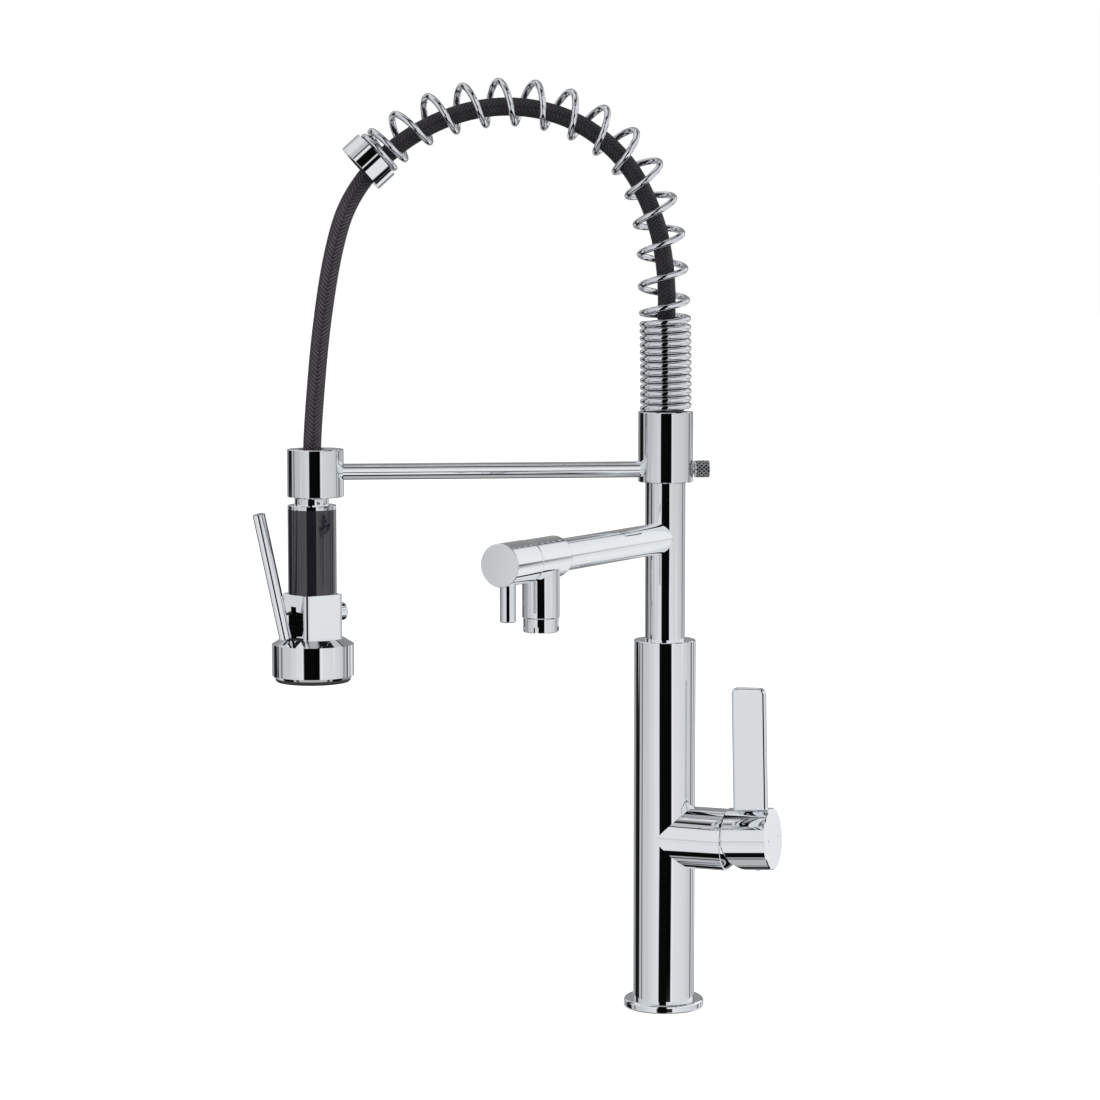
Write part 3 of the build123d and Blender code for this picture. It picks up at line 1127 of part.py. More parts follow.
with BuildPart() as valve_cap:
    with BuildSketch(spray_out(-BLOCK_DEPTH / 2, PLUNGER_HEIGHT)):
        Circle(CAP_RADIUS)
    extrude(amount=BLOCK_DEPTH / 2 - CAP_REACH)
    fillet(valve_cap.edges().sort_by(lambda e: e.center().dot(spray_side.x_dir))[0], CAP_EDGE)
    with BuildSketch(spray_out(-BLOCK_DEPTH / 2, PLUNGER_HEIGHT)):
        Circle(CHAMBER_RADIUS - SEATED)
    extrude(amount=BLOCK_DEPTH / 2 + CAP_BACK)

spring_room = HEAD_BACK - CAP_BACK - 2 * (SPRING_WIRE + SPRING_PLAY)
spring_sections = []
for n in range(SPRING_TURNS * SECTIONS_PER_TURN + 1):
    rise = spring_room * n / (SPRING_TURNS * SECTIONS_PER_TURN)
    middle = spray_out(CAP_BACK + SPRING_WIRE + SPRING_PLAY + rise, PLUNGER_HEIGHT)
    arm = Vector(SPRING_COIL, 0, 0).rotate(Axis.Z, 360 * n / SECTIONS_PER_TURN)
    spot = middle.from_local_coords(arm)
    around = middle.z_dir.cross(spot - middle.origin)
    flat = Plane(spot, x_dir=middle.z_dir, z_dir=around)
    spring_sections.append(flat * RegularPolygon(SPRING_WIRE, 4))
with BuildPart() as valve_spring:
    loft(sections=[section.face() for section in spring_sections], ruled=True)

with BuildPart() as spray_bell:
    with BuildSketch(spray_side):
        with BuildLine():
            Polyline(
                (0, BLOCK_BOTTOM),
                (BELL_NECK, BLOCK_BOTTOM),
                (BELL_RADIUS, BELL_SHOULDER),
                (BELL_RADIUS, BELL_BOTTOM + BELL_CHAMFER),
                (BELL_RADIUS - BELL_CHAMFER, BELL_BOTTOM),
                (BELL_RADIUS - BELL_WALL, BELL_BOTTOM),
                (BELL_RADIUS - BELL_WALL, BELL_SHOULDER - BELL_SLOPE),
                (BELL_NECK - BELL_SLOPE, BLOCK_BOTTOM - BELL_FLOOR),
                (0, BLOCK_BOTTOM - BELL_FLOOR),
                close=True,
            )
        make_face()
    revolve(axis=spray_axis)
    with BuildSketch(spray_level(BLOCK_BOTTOM)):
        with Locations((-WATERWAY_OFFSET, 0)):
            Circle(WATERWAY_RADIUS)
    extrude(amount=-BELL_FLOOR, mode=Mode.SUBTRACT)

with BuildPart() as spray_face:
    with BuildSketch(spray_level(FACE_BOTTOM)):
        Circle(BELL_RADIUS - BELL_WALL - SEATED)
    extrude(amount=FACE_TOP - FACE_BOTTOM)
    chamfer(spray_face.edges().sort_by(Axis.Z)[0], FACE_EDGE)
    with BuildSketch(spray_level(FACE_BOTTOM)):
        for radius, count in NOZZLE_RINGS:
            with PolarLocations(radius, count):
                Circle(SPRAY_HOLE)
    extrude(amount=FACE_TOP - FACE_BOTTOM, mode=Mode.SUBTRACT)

# ---- Files ----------------------------------------------------------------------------
os.makedirs("parts", exist_ok=True)
pieces = {
    "column_body": column_body,
    "base_flange": base_flange,
    "base_seal": base_seal,
    "inlet_block": inlet_block,
    "pipe_plate": pipe_plate,
    "hot_pipe": hot_pipe,
    "cold_pipe": cold_pipe,
    "mixed_pipe": mixed_pipe,
    "riser_feed_plug": riser_feed_plug,
    "riser_grub_screw": riser_grub_screw,
    "cartridge_body": cartridge_body,
    "fixed_disc": fixed_disc,
    "moving_disc": moving_disc,
    "cartridge_rotor": cartridge_rotor,
    "cartridge_stem": cartridge_stem,
    "stem_pin": stem_pin,
    "cartridge_nut": cartridge_nut,
    "bonnet": bonnet,
    "lever_handle": lever_handle,
    "lever_grub_screw": lever_grub_screw,
    "screw_plug": screw_plug,
    "riser_tube": riser_tube,
    "riser_seals": riser_seals,
    "side_spout": side_spout,
    "spout_valve_body": spout_valve_body,
    "aerator_ring": aerator_ring,
    "aerator_insert": aerator_insert,
    "spout_headwork": spout_headwork,
    "spout_spindle": spout_spindle,
    "side_knob": side_knob,
    "knob_pin": knob_pin,
    "spring_holder": spring_holder,
    "hose_ferrule": hose_ferrule,
    "arm_collar": arm_collar,
    "arm_rod": arm_rod,
    "dock_ring": dock_ring,
    "dock_liner": dock_liner,
    "thumb_screw": thumb_screw,
    "support_spring": support_spring,
    "spring_sleeve": spring_sleeve,
    "spray_hose": spray_hose,
    "neck_cone": neck_cone,
    "swivel_clip": swivel_clip,
    "grip_ring": grip_ring,
    "grip_sleeve": grip_sleeve,
    "inner_tube": inner_tube,
    "valve_block": valve_block,
    "trigger_pin": trigger_pin,
    "trigger_rod": trigger_rod,
    "valve_plunger": valve_plunger,
    "valve_cap": valve_cap,
    "valve_spring": valve_spring,
    "spray_bell": spray_bell,
    "spray_face": spray_face,
}
for name, piece in pieces.items():
    piece.part.label = name
    export_step(piece.part, f"parts/{name}.step")
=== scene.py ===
"""The looks of a tall chrome kitchen tap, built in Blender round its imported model.

The tap has a mixer lever, a valved side spout, and a hand spray whose braided hose hangs inside a
coiled support spring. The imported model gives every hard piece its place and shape. This script
gives each of them a finish, and models what the solids only stand for: the round wire of the
spring, the braided hose, the knurled thumb screw, the colour dots on the lever and the rubber
nozzles of the spray. Lengths are in metres, +Z is up, and sizes written in millimetres carry MM.
"""

from __future__ import annotations

import json
import logging
import math
from bisect import bisect_right
from dataclasses import dataclass
from enum import Enum
from typing import Any, Optional, Sequence, Union

import bmesh
import bpy
from mathutils import Matrix, Vector


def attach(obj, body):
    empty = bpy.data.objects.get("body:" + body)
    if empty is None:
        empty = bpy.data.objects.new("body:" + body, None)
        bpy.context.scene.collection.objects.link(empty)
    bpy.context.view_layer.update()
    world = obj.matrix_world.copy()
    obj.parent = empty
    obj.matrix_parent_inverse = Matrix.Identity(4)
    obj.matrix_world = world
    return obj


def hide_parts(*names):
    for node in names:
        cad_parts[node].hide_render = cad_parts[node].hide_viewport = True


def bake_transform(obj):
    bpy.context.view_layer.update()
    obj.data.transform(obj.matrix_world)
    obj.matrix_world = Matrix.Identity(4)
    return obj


LOG = logging.getLogger("tap")
MM = 0.001
MERGE = 1e-7  # points closer than this are one, in metres

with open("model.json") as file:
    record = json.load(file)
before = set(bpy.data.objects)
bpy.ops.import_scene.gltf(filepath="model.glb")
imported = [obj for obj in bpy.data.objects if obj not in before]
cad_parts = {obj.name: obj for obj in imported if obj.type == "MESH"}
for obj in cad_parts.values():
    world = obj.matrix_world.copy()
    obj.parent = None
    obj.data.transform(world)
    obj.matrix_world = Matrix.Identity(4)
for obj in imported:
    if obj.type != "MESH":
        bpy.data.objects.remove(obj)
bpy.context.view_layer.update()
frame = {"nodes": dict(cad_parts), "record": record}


class Body(Enum):
    """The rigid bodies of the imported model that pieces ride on."""

    ARM = "arm"
    HOSE_SWIVEL = "hose_swivel"
    HANDSET = "handset"
    LEVER = "lever"
    THUMB_SCREW = "thumb_screw"


class Slot(Enum):
    """The record's material slots."""

    CHROME = "chrome"
    KNURLED_CHROME = "knurled_chrome"
    SPRING_STEEL = "spring_steel"
    BLACK_GRIP = "black_grip"
    BLACK_RUBBER = "black_rubber"
    HOSE_BRAID = "hose_braid"
    BARE_BRASS = "bare_brass"
    COPPER = "copper"
    WHITE_PLASTIC = "white_plastic"
    CERAMIC = "ceramic"
    BLACK_PLASTIC = "black_plastic"
    GREY_PLASTIC = "grey_plastic"
    STEEL = "steel"


# ---- Shader maths ----
Number = Union[float, "Value"]
Triple = tuple[float, float, float]
Colour = Triple
Pairs = tuple[tuple[float, float], ...]
WHITE = (1.0, 1.0, 1.0)
BLACK = (0.0, 0.0, 0.0)


class Value:
    """A shader socket whose arithmetic adds Math nodes to its tree."""

    def __init__(self, shader: "Shader", socket: bpy.types.NodeSocket) -> None:
        """Wraps an output socket of a shader's tree."""
        self.shader = shader
        self.socket = socket

    def math(self, operation: str, *others: Number) -> "Value":
        """A Math node on this value, with any further inputs after it."""
        return self.shader.maths(operation, self, *others)

    def __add__(self, other: Number) -> "Value":
        """Sum."""
        return self.math("ADD", other)

    def __sub__(self, other: Number) -> "Value":
        """Difference."""
        return self.math("SUBTRACT", other)

    def __rsub__(self, other: Number) -> "Value":
        """Difference, reflected."""
        return self.shader.maths("SUBTRACT", other, self)

    def __mul__(self, other: Number) -> "Value":
        """Product."""
        return self.math("MULTIPLY", other)

    def __truediv__(self, other: Number) -> "Value":
        """Quotient."""
        return self.math("DIVIDE", other)

    def __pow__(self, other: Number) -> "Value":
        """Power."""
        return self.math("POWER", other)

    __radd__ = __add__
    __rmul__ = __mul__

    def fraction(self) -> "Value":
        """What is left over the whole part."""
        return self.math("FRACT")

    def sine(self) -> "Value":
        """Sine of an angle in radians."""
        return self.math("SINE")

    def largest(self, other: Number) -> "Value":
        """The larger of two values."""
        return self.math("MAXIMUM", other)

    def smallest(self, other: Number) -> "Value":
        """The smaller of two values."""
        return self.math("MINIMUM", other)


def grey(level: float) -> Colour:
    """A colour of one level."""
    return level, level, level


class Shader:
    """A node tree under construction, for a material or for the world."""

    def __init__(self, tree: bpy.types.NodeTree) -> None:
        """Starts on an empty tree.

        Args:
            tree: The tree to fill. What it holds is cleared.
        """
        self.tree = tree
        tree.nodes.clear()

    def node(self, kind: str, settings: Optional[dict[str, Any]] = None,
             inputs: Optional[dict[Union[str, int], Any]] = None) -> bpy.types.Node:
        """Adds a node.

        Args:
            kind: The node's type.
            settings: Its properties, set first. The key "stops" holds a ramp's (place, grey)
                pairs.
            inputs: The values or links of its sockets, by name or number.

        Returns:
            The node.
        """
        made = self.tree.nodes.new(kind)
        for key, given in (settings or {}).items():
            if key == "stops":
                self._set_stops(made.color_ramp, given)
            else:
                setattr(made, key, given)
        for key, given in (inputs or {}).items():
            self._feed(made.inputs[key], given)
        return made

    def _feed(self, socket: bpy.types.NodeSocket, given: Any) -> None:
        """Links a value into a socket, or sets the socket's own number or colour.

        Args:
            socket: The input socket.
            given: A Value, an output socket, a number, or a tuple of numbers.
        """
        if isinstance(given, Value):
            given = given.socket
        if isinstance(given, bpy.types.NodeSocket):
            self.tree.links.new(given, socket)
        elif isinstance(given, tuple) and socket.type == "RGBA":
            socket.default_value = (*given, 1.0)
        else:
            socket.default_value = given

    def value(self, kind: str, output: Union[str, int] = 0, settings: Optional[dict[str, Any]] = None,
              inputs: Optional[dict[Union[str, int], Any]] = None) -> Value:
        """Adds a node as above and wraps the output of that name or number."""
        return Value(self, self.node(kind, settings, inputs).outputs[output])

    def maths(self, operation: str, *inputs: Number) -> Value:
        """A Math node on numbers and values, one of them a value."""
        return self.value("ShaderNodeMath", 0, {"operation": operation}, dict(enumerate(inputs)))

    def noise(self, scale: float, detail: float = 2.0, stretch: Triple = (1.0, 1.0, 1.0)) -> Value:
        """Noise on Object coordinates.

        Args:
            scale: Features per metre.
            detail: Octaves.
            stretch: How much each axis of the pattern is multiplied.

        Returns:
            A value from 0 to 1.
        """
        place = self.node("ShaderNodeTexCoord").outputs["Object"]
        mapped = self.node("ShaderNodeMapping", inputs={"Vector": place, "Scale": stretch}).outputs[0]
        return self.value("ShaderNodeTexNoise", "Fac",
                          inputs={"Vector": mapped, "Scale": scale, "Detail": detail})

    def mix(self, share: Number, first: Any, second: Any) -> Value:
        """A colour between two: a share of 0 gives the first, and 1 the second."""
        return self.value("ShaderNodeMix", 2, {"data_type": "RGBA"}, {"Factor": share, 6: first, 7: second})

    def bump(self, height: Number, distance: float) -> Value:
        """A normal raised by a height from 0 to 1, where 1 stands for a distance in metres."""
        return self.value("ShaderNodeBump", "Normal",
                          inputs={"Height": height, "Distance": distance, "Strength": 1.0})

    @staticmethod
    def _set_stops(ramp: bpy.types.ColorRamp, stops: Sequence[tuple[float, float]]) -> None:
        """Gives a colour ramp its stops.

        Args:
            ramp: The ramp.
            stops: (place, grey) pairs in rising order.
        """
        while len(ramp.elements) > 1:
            ramp.elements.remove(ramp.elements[-1])
        for n, (place, level) in enumerate(stops):
            element = ramp.elements[0] if n == 0 else ramp.elements.new(place)
            element.position = place
            element.color = (*grey(level), 1.0)


# ---- Finishes ----
@dataclass(frozen=True)
class Finish:
    """A finish that all the others start from.

    Attributes:
        name: The material's name.
        slot: The record's slot that it belongs to.
    """

    name: str
    slot: Slot

    def material(self) -> bpy.types.Material:
        """The finish as a material, made the first time it is asked for."""
        known = bpy.data.materials.get(self.name)
        if known is not None:
            return known
        made = bpy.data.materials.new(self.name)
        made.use_nodes = True
        shader = Shader(made.node_tree)
        surface = shader.node("ShaderNodeBsdfPrincipled", inputs=self.sockets(shader))
        shader.node("ShaderNodeOutputMaterial", inputs={"Surface": surface.outputs[0]})
        return made

    def sockets(self, shader: Shader) -> dict[str, Any]:
        """What feeds the shader's sockets.

        Args:
            shader: The tree to add nodes to.

        Returns:
            Socket names and their numbers, colours or values.
        """
        raise NotImplementedError


@dataclass(frozen=True)
class Plated(Finish):
    """Polished metal plate: a mirror with faint handling marks and a barely uneven face.

    Attributes:
        light: The plate's colour where it is clean.
        hazy: Its colour where it has been handled.
        polish: Roughness where it is clean.
        haze: How much rougher it is where it has been handled.
        ripple: Height of the polisher's slow waves, in metres.
    """

    light: Colour = (0.850, 0.876, 0.905)
    hazy: Colour = (0.815, 0.842, 0.872)
    polish: float = 0.018
    haze: float = 0.045
    ripple: float = 0.02 * MM

    def sockets(self, shader: Shader) -> dict[str, Any]:
        """Plate colour, roughness and slow waves."""
        smears = shader.noise(26.0, 3.0, (1.0, 1.0, 0.35))
        rubbed = shader.noise(1400.0, 2.0, (1.0, 1.0, 0.05))
        marks = (smears - 0.45).largest(0.0) * (0.6 + rubbed * 0.8)
        waves = shader.noise(38.0, 1.0)
        return {
            "Metallic": 1.0,
            "Base Color": shader.mix((marks * 3.0).smallest(1.0), self.light, self.hazy),
            "Roughness": self.polish + marks * self.haze,
            "Normal": shader.bump(waves, self.ripple),
        }


@dataclass(frozen=True)
class Bare(Finish):
    """Unplated metal, turned or drawn, with its tool marks and a little tarnish.

    Attributes:
        bright: Colour of the clean metal.
        dull: Colour of the tarnish.
        polish: Roughness of the clean metal.
        stretch: How the tool marks are drawn out along each axis.
    """

    bright: Colour = (0.80, 0.62, 0.30)
    dull: Colour = (0.45, 0.30, 0.13)
    polish: float = 0.24
    stretch: Triple = (1.0, 1.0, 9.0)

    def sockets(self, shader: Shader) -> dict[str, Any]:
        """Metal colour, tarnish and tool marks."""
        tarnish = shader.noise(90.0, 4.0)
        marks = shader.noise(900.0, 2.0, self.stretch)
        spread = ((tarnish - 0.5) * 2.2).largest(0.0).smallest(1.0)
        return {
            "Metallic": 1.0,
            "Base Color": shader.mix(spread, self.bright, self.dull),
            "Roughness": self.polish + spread * 0.25 + marks * 0.08,
            "Normal": shader.bump(marks, 0.03 * MM),
        }


@dataclass(frozen=True)
class Moulded(Finish):
    """A moulded plastic, rubber or ceramic face.

    Attributes:
        colour: The body colour.
        worn: The colour of its duller patches.
        gloss: Roughness of the face.
        grain: Height of the mould's grain, in metres.
        grain_scale: Grains per metre.
        coat: Weight of a clear top face.
    """

    colour: Colour = (0.02, 0.02, 0.02)
    worn: Colour = (0.03, 0.03, 0.03)
    gloss: float = 0.5
    grain: float = 0.02 * MM
    grain_scale: float = 1500.0
    coat: float = 0.0

    def sockets(self, shader: Shader) -> dict[str, Any]:
        """Body colour, patches and grain."""
        patches = shader.noise(45.0, 3.0)
        grain = shader.noise(self.grain_scale, 2.0)
        return {
            "Base Color": shader.mix(patches, self.colour, self.worn),
            "Roughness": self.gloss * (0.85 + patches * 0.3),
            "Coat Weight": self.coat,
            "Coat Roughness": 0.02,
            "Normal": shader.bump(grain, self.grain),
        }


@dataclass(frozen=True)
class Braid(Finish):
    """Black yarn braided over a hose in upright columns, whose strands lean in turn left and right.

    It reads the piece's own UV map, where u goes once round the hose and v runs along it in
    hose girths.

    Attributes:
        pairs: Pairs of columns round the hose.
        strands: Strands to a girth's length of column.
        lean: How many strands' widths a strand climbs across its column.
        filaments: Threads in a strand.
        yarn: Colour of the yarn where the hose hangs free of the spring.
        fresh: Colour of the yarn inside the support spring, darker as painted shade from the coil.
        leaves: Where along the hose, in girths, it leaves the spring.
        change: How fast the colour changes there, as a share a girth.
        gap: Colour between the strands.
        relief: Height of the strands, in metres.
    """

    pairs: int = 3
    strands: int = 14
    lean: float = 2.0
    filaments: int = 4
    yarn: Colour = (0.085, 0.068, 0.088)
    fresh: Colour = (0.034, 0.026, 0.034)
    leaves: float = 9.3
    change: float = 1.5
    # gap: Colour between the strands, painted shade in the braid's crevices.
    gap: Colour = (0.0030, 0.0024, 0.0038)
    relief: float = 0.55 * MM

    def sockets(self, shader: Shader) -> dict[str, Any]:
        """Strands that lean both ways, the furrows between their columns, and their threads, with painted
        shade in the furrows, between the strands and on the yarn inside the spring.
        """
        place = shader.node("ShaderNodeTexCoord").outputs["UV"]
        lay = shader.node("ShaderNodeSeparateXYZ", inputs={0: place})
        across, along = Value(shader, lay.outputs[0]), Value(shader, lay.outputs[1])
        column = 1.0 - ((across * self.pairs).fraction() * 2.0 - 1.0).math("ABSOLUTE")
        strand = along * self.strands - column * self.lean
        body = 1.0 - (strand.fraction() * 2.0 - 1.0) ** 2.0
        threads = (strand * (self.filaments * math.tau)).sine() * 0.5 + 0.5
        furrow = (column * (1.0 - column) * 4.0) ** 0.45
        uneven = shader.noise(260.0, 2.0)
        height = furrow * (body * 0.8 + threads * 0.2)
        # Painted shade: strands darken towards their edges and into the furrows between columns, with random
        # unevenness.
        shade = (body ** 1.6) * furrow * (0.6 + threads * 0.4) * (0.55 + uneven * 0.9)
        # Painted shade: the yarn inside the support spring is darker, and turns to its own colour where the
        # hose leaves it.
        clear_of_spring_shade = ((along - self.leaves) * self.change).largest(0.0).smallest(1.0)
        return {
            "Base Color": shader.mix(shade.smallest(1.0), self.gap,
                                     shader.mix(clear_of_spring_shade, self.fresh, self.yarn)),
            "Roughness": 0.60 - threads * 0.20,
            "Normal": shader.bump(height, self.relief),
        }


@dataclass(frozen=True)
class Knurled(Plated):
    """Plate over knurling, whose pits are dull and darkened with painted shade. It reads the piece's own pit
    attribute.

    Attributes:
        pit: The painted shade colour deep in a pit.
    """

    pit: Colour = (0.030, 0.030, 0.034)

    def sockets(self, shader: Shader) -> dict[str, Any]:
        """Bright ridges, and dull pits darkened with painted shade."""
        deep = shader.value("ShaderNodeAttribute", "Fac", {"attribute_name": "pit"})
        grain = shader.noise(1800.0, 2.0)
        return {
            "Metallic": 1.0,
            # Painted shade darkens the plate in the pits.
            "Base Color": shader.mix(deep, self.light, self.pit),
            "Roughness": self.polish + deep * 0.35 + grain * self.haze,
            "Normal": shader.bump(grain, 0.01 * MM),
        }


CHROME = Plated("chrome_plate", Slot.CHROME)
WIRE = Plated("spring_wire_polished", Slot.SPRING_STEEL, light=(0.735, 0.755, 0.790),
              hazy=(0.690, 0.710, 0.750), polish=0.03, haze=0.03, ripple=0.01 * MM)
KNURL = Knurled("knurled_plate", Slot.KNURLED_CHROME, light=(0.80, 0.81, 0.83), polish=0.10, haze=0.10)
GRIP = Moulded("gloss_black_grip", Slot.BLACK_GRIP, colour=(0.009, 0.008, 0.013),
               worn=(0.014, 0.012, 0.019), gloss=0.06, grain=0.002 * MM, grain_scale=160.0, coat=1.0)
RUBBER = Moulded("black_rubber_face", Slot.BLACK_RUBBER, colour=(0.016, 0.016, 0.017),
                 worn=(0.030, 0.030, 0.031), gloss=0.55, grain=0.03 * MM)
BRAID = Braid("black_hose_braid", Slot.HOSE_BRAID)
BRASS = Bare("turned_brass", Slot.BARE_BRASS)
COPPER = Bare("drawn_copper", Slot.COPPER, bright=(0.86, 0.46, 0.32), dull=(0.38, 0.16, 0.09),
              stretch=(9.0, 9.0, 1.0))
STEEL = Bare("stainless_steel", Slot.STEEL, bright=(0.64, 0.64, 0.65), dull=(0.50, 0.49, 0.48), polish=0.22)
WHITE_PLASTIC = Moulded("white_acetal", Slot.WHITE_PLASTIC, colour=(0.80, 0.80, 0.78),
                        worn=(0.72, 0.71, 0.68), gloss=0.35)
CERAMIC = Moulded("polished_alumina", Slot.CERAMIC, colour=(0.88, 0.86, 0.82), worn=(0.82, 0.79, 0.74),
                  gloss=0.12, grain=0.004 * MM, coat=0.4)
BLACK_PLASTIC = Moulded("black_acetal", Slot.BLACK_PLASTIC, colour=(0.020, 0.020, 0.021),
                        worn=(0.034, 0.034, 0.035), gloss=0.38)
GREY_PLASTIC = Moulded("grey_plug", Slot.GREY_PLASTIC, colour=(0.46, 0.47, 0.48), worn=(0.40, 0.41, 0.42),
                       gloss=0.30)
RED_DOT = Moulded("red_enamel", Slot.GREY_PLASTIC, colour=(0.62, 0.035, 0.020), worn=(0.50, 0.028, 0.018),
                  gloss=0.20, grain=0.003 * MM, coat=0.6)
BLUE_DOT = Moulded("blue_enamel", Slot.GREY_PLASTIC, colour=(0.025, 0.090, 0.46), worn=(0.020, 0.070, 0.36),
                   gloss=0.20, grain=0.003 * MM, coat=0.6)
FINISHES = (CHROME, WIRE, KNURL, GRIP, RUBBER, BRAID, BRASS, COPPER, STEEL, WHITE_PLASTIC, CERAMIC,
            BLACK_PLASTIC, GREY_PLASTIC)


# ---- Making meshes ----
def linked(name: str, data: Optional[bpy.types.ID]) -> bpy.types.Object:
    """A new object that stands in the scene."""
    made = bpy.data.objects.new(name, data)
    bpy.context.scene.collection.objects.link(made)
    return made


def toward(azimuth: float) -> Vector:
    """The level direction at an azimuth, in degrees from +X."""
    turn = math.radians(azimuth)
    return Vector((math.cos(turn), math.sin(turn), 0.0))


def seat(origin: Vector, side: Vector, along: Vector) -> Matrix:
    """The frame with its X to a side and its Z along a direction."""
    return Matrix.Translation(origin) @ Matrix((side, along.cross(side), along)).transposed().to_4x4()


def share_run(run: float, span: float) -> float:
    """How much of a span has been run, from 0 to 1."""
    return min(max(run / span, 0.0), 1.0)


def finished(name: str, mesh: bmesh.types.BMesh, finish: Finish,
             smooth_below: float = 40.0) -> bpy.types.Object:
    """Turns a mesh into an object of the scene, at the origin and dressed.

    Args:
        name: The piece's name.
        mesh: Its shape, in the row frame, which is used up.
        finish: Its finish.
        smooth_below: Edges that turn by less than this many degrees are shaded smooth.

    Returns:
        The piece.
    """
    bmesh.ops.recalc_face_normals(mesh, faces=mesh.faces)
    for face in mesh.faces:
        face.smooth = True
    for edge in mesh.edges:
        if len(edge.link_faces) == 2:
            edge.smooth = edge.calc_face_angle(0.0) < math.radians(smooth_below)
    data = bpy.data.meshes.new(name)
    mesh.to_mesh(data)
    mesh.free()
    piece = linked(name, data)
    data.materials.append(finish.material())
    return piece


def report(piece: bpy.types.Object, rides_on: str) -> None:
    """Logs a finished piece and what it moves with."""
    LOG.info("%s: %d faces, moves with %s", piece.name, len(piece.data.polygons), rides_on)


def spun(profile: Sequence[tuple[float, float]], steps: int) -> bmesh.types.BMesh:
    """A turned shape about the Z axis.

    Args:
        profile: (radius, height) pairs from one end of the axis to the other, in millimetres.
        steps: Steps round the axis.

    Returns:
        The closed mesh.
    """
    shape = bmesh.new()
    corners = [shape.verts.new((radius * MM, 0.0, height * MM)) for radius, height in profile]
    sides = [shape.edges.new(pair) for pair in zip(corners, corners[1:])]
    bmesh.ops.spin(shape, geom=[*corners, *sides], cent=(0, 0, 0), axis=(0, 0, 1),
                   angle=math.tau, steps=steps, use_merge=True)
    bmesh.ops.remove_doubles(shape, verts=shape.verts, dist=MERGE)
    return shape


def curve_through(kind: str, points: Sequence[Vector]) -> tuple[bpy.types.Curve, bpy.types.Spline]:
    """A curve of one spline that has its points."""
    curve = bpy.data.curves.new("route", "CURVE")
    curve.dimensions = "3D"
    spline = curve.splines.new(kind)
    spline.points.add(len(points) - 1)
    for spot, point in zip(spline.points, points):
        spot.co = (*point, 1.0)
    return curve, spline


def mesh_of(curve: bpy.types.Curve) -> bpy.types.Mesh:
    """The mesh that a curve turns into, which uses the curve up."""
    holder = linked("route", curve)
    mesh = bpy.data.meshes.new_from_object(holder)
    bpy.data.objects.remove(holder)
    bpy.data.curves.remove(curve)
    return mesh


def nurbs_line(points: Sequence[Vector], resolution: int) -> list[Vector]:
    """Points along the smooth line that a route's points control.

    Args:
        points: The route's points, in the row frame.
        resolution: Steps from one point to the next.

    Returns:
        Points read from the spline.
    """
    curve, spline = curve_through("NURBS", points)
    spline.order_u = 3
    spline.use_endpoint_u = True
    spline.resolution_u = resolution
    mesh = mesh_of(curve)
    line = [vertex.co.copy() for vertex in mesh.vertices]
    bpy.data.meshes.remove(mesh)
    return line


@dataclass(frozen=True)
class Line:
    """A line of points that can be asked for a place and a direction by distance.

    Attributes:
        points: The points, close together.
        runs: The distance along the line at each point.
    """

    points: tuple[Vector, ...]
    runs: tuple[float, ...]

    @classmethod
    def through(cls, points: Sequence[Vector]) -> "Line":
        """A line through points.

        Args:
            points: The points, in order.

        Returns:
            The line.
        """
        runs = [0.0]
        for start, end in zip(points, points[1:]):
            runs.append(runs[-1] + (end - start).length)
        return cls(tuple(points), tuple(runs))

    @property
    def length(self) -> float:
        """The line's whole length."""
        return self.runs[-1]

    def at(self, run: float) -> tuple[Vector, Vector]:
        """The place and direction at a distance along the line.

        Args:
            run: The distance, which is held inside the line.

        Returns:
            The place and the unit direction.
        """
        run = min(max(run, 0.0), self.length - 1e-9)
        high = bisect_right(self.runs, run)
        low = high - 1
        share = (run - self.runs[low]) / (self.runs[high] - self.runs[low])
        step = self.points[high] - self.points[low]
        before = self.points[low] - self.points[max(low - 1, 0)]
        after = self.points[min(high + 1, len(self.points) - 1)] - self.points[high]
        blend = before.normalized() * (0.5 * (1 - share)) + after.normalized() * (0.5 * share)
        return self.points[low] + step * share, (step.normalized() + blend).normalized()


@dataclass(frozen=True)
class ArmPlane:
    """The upright plane that the arm, spring and hose lie in.

    Attributes:
        azimuth: The arm's direction, in degrees from +X.
    """

    azimuth: float = 207.5

    @property
    def out(self) -> Vector:
        """The level direction along the arm."""
        return toward(self.azimuth)

    @property
    def across(self) -> Vector:
        """The plane's normal."""
        return self.out.cross(Vector((0.0, 0.0, 1.0)))

    def point(self, reach: float, height: float) -> Vector:
        """A point, in metres, by its distance from the column and its height, in millimetres."""
        return self.out * (reach * MM) + Vector((0.0, 0.0, height * MM))

    def points(self, route: Pairs) -> list[Vector]:
        """The points of a route of (reach, height) pairs in millimetres."""
        return [self.point(*spot) for spot in route]


ARM_PLANE = ArmPlane()


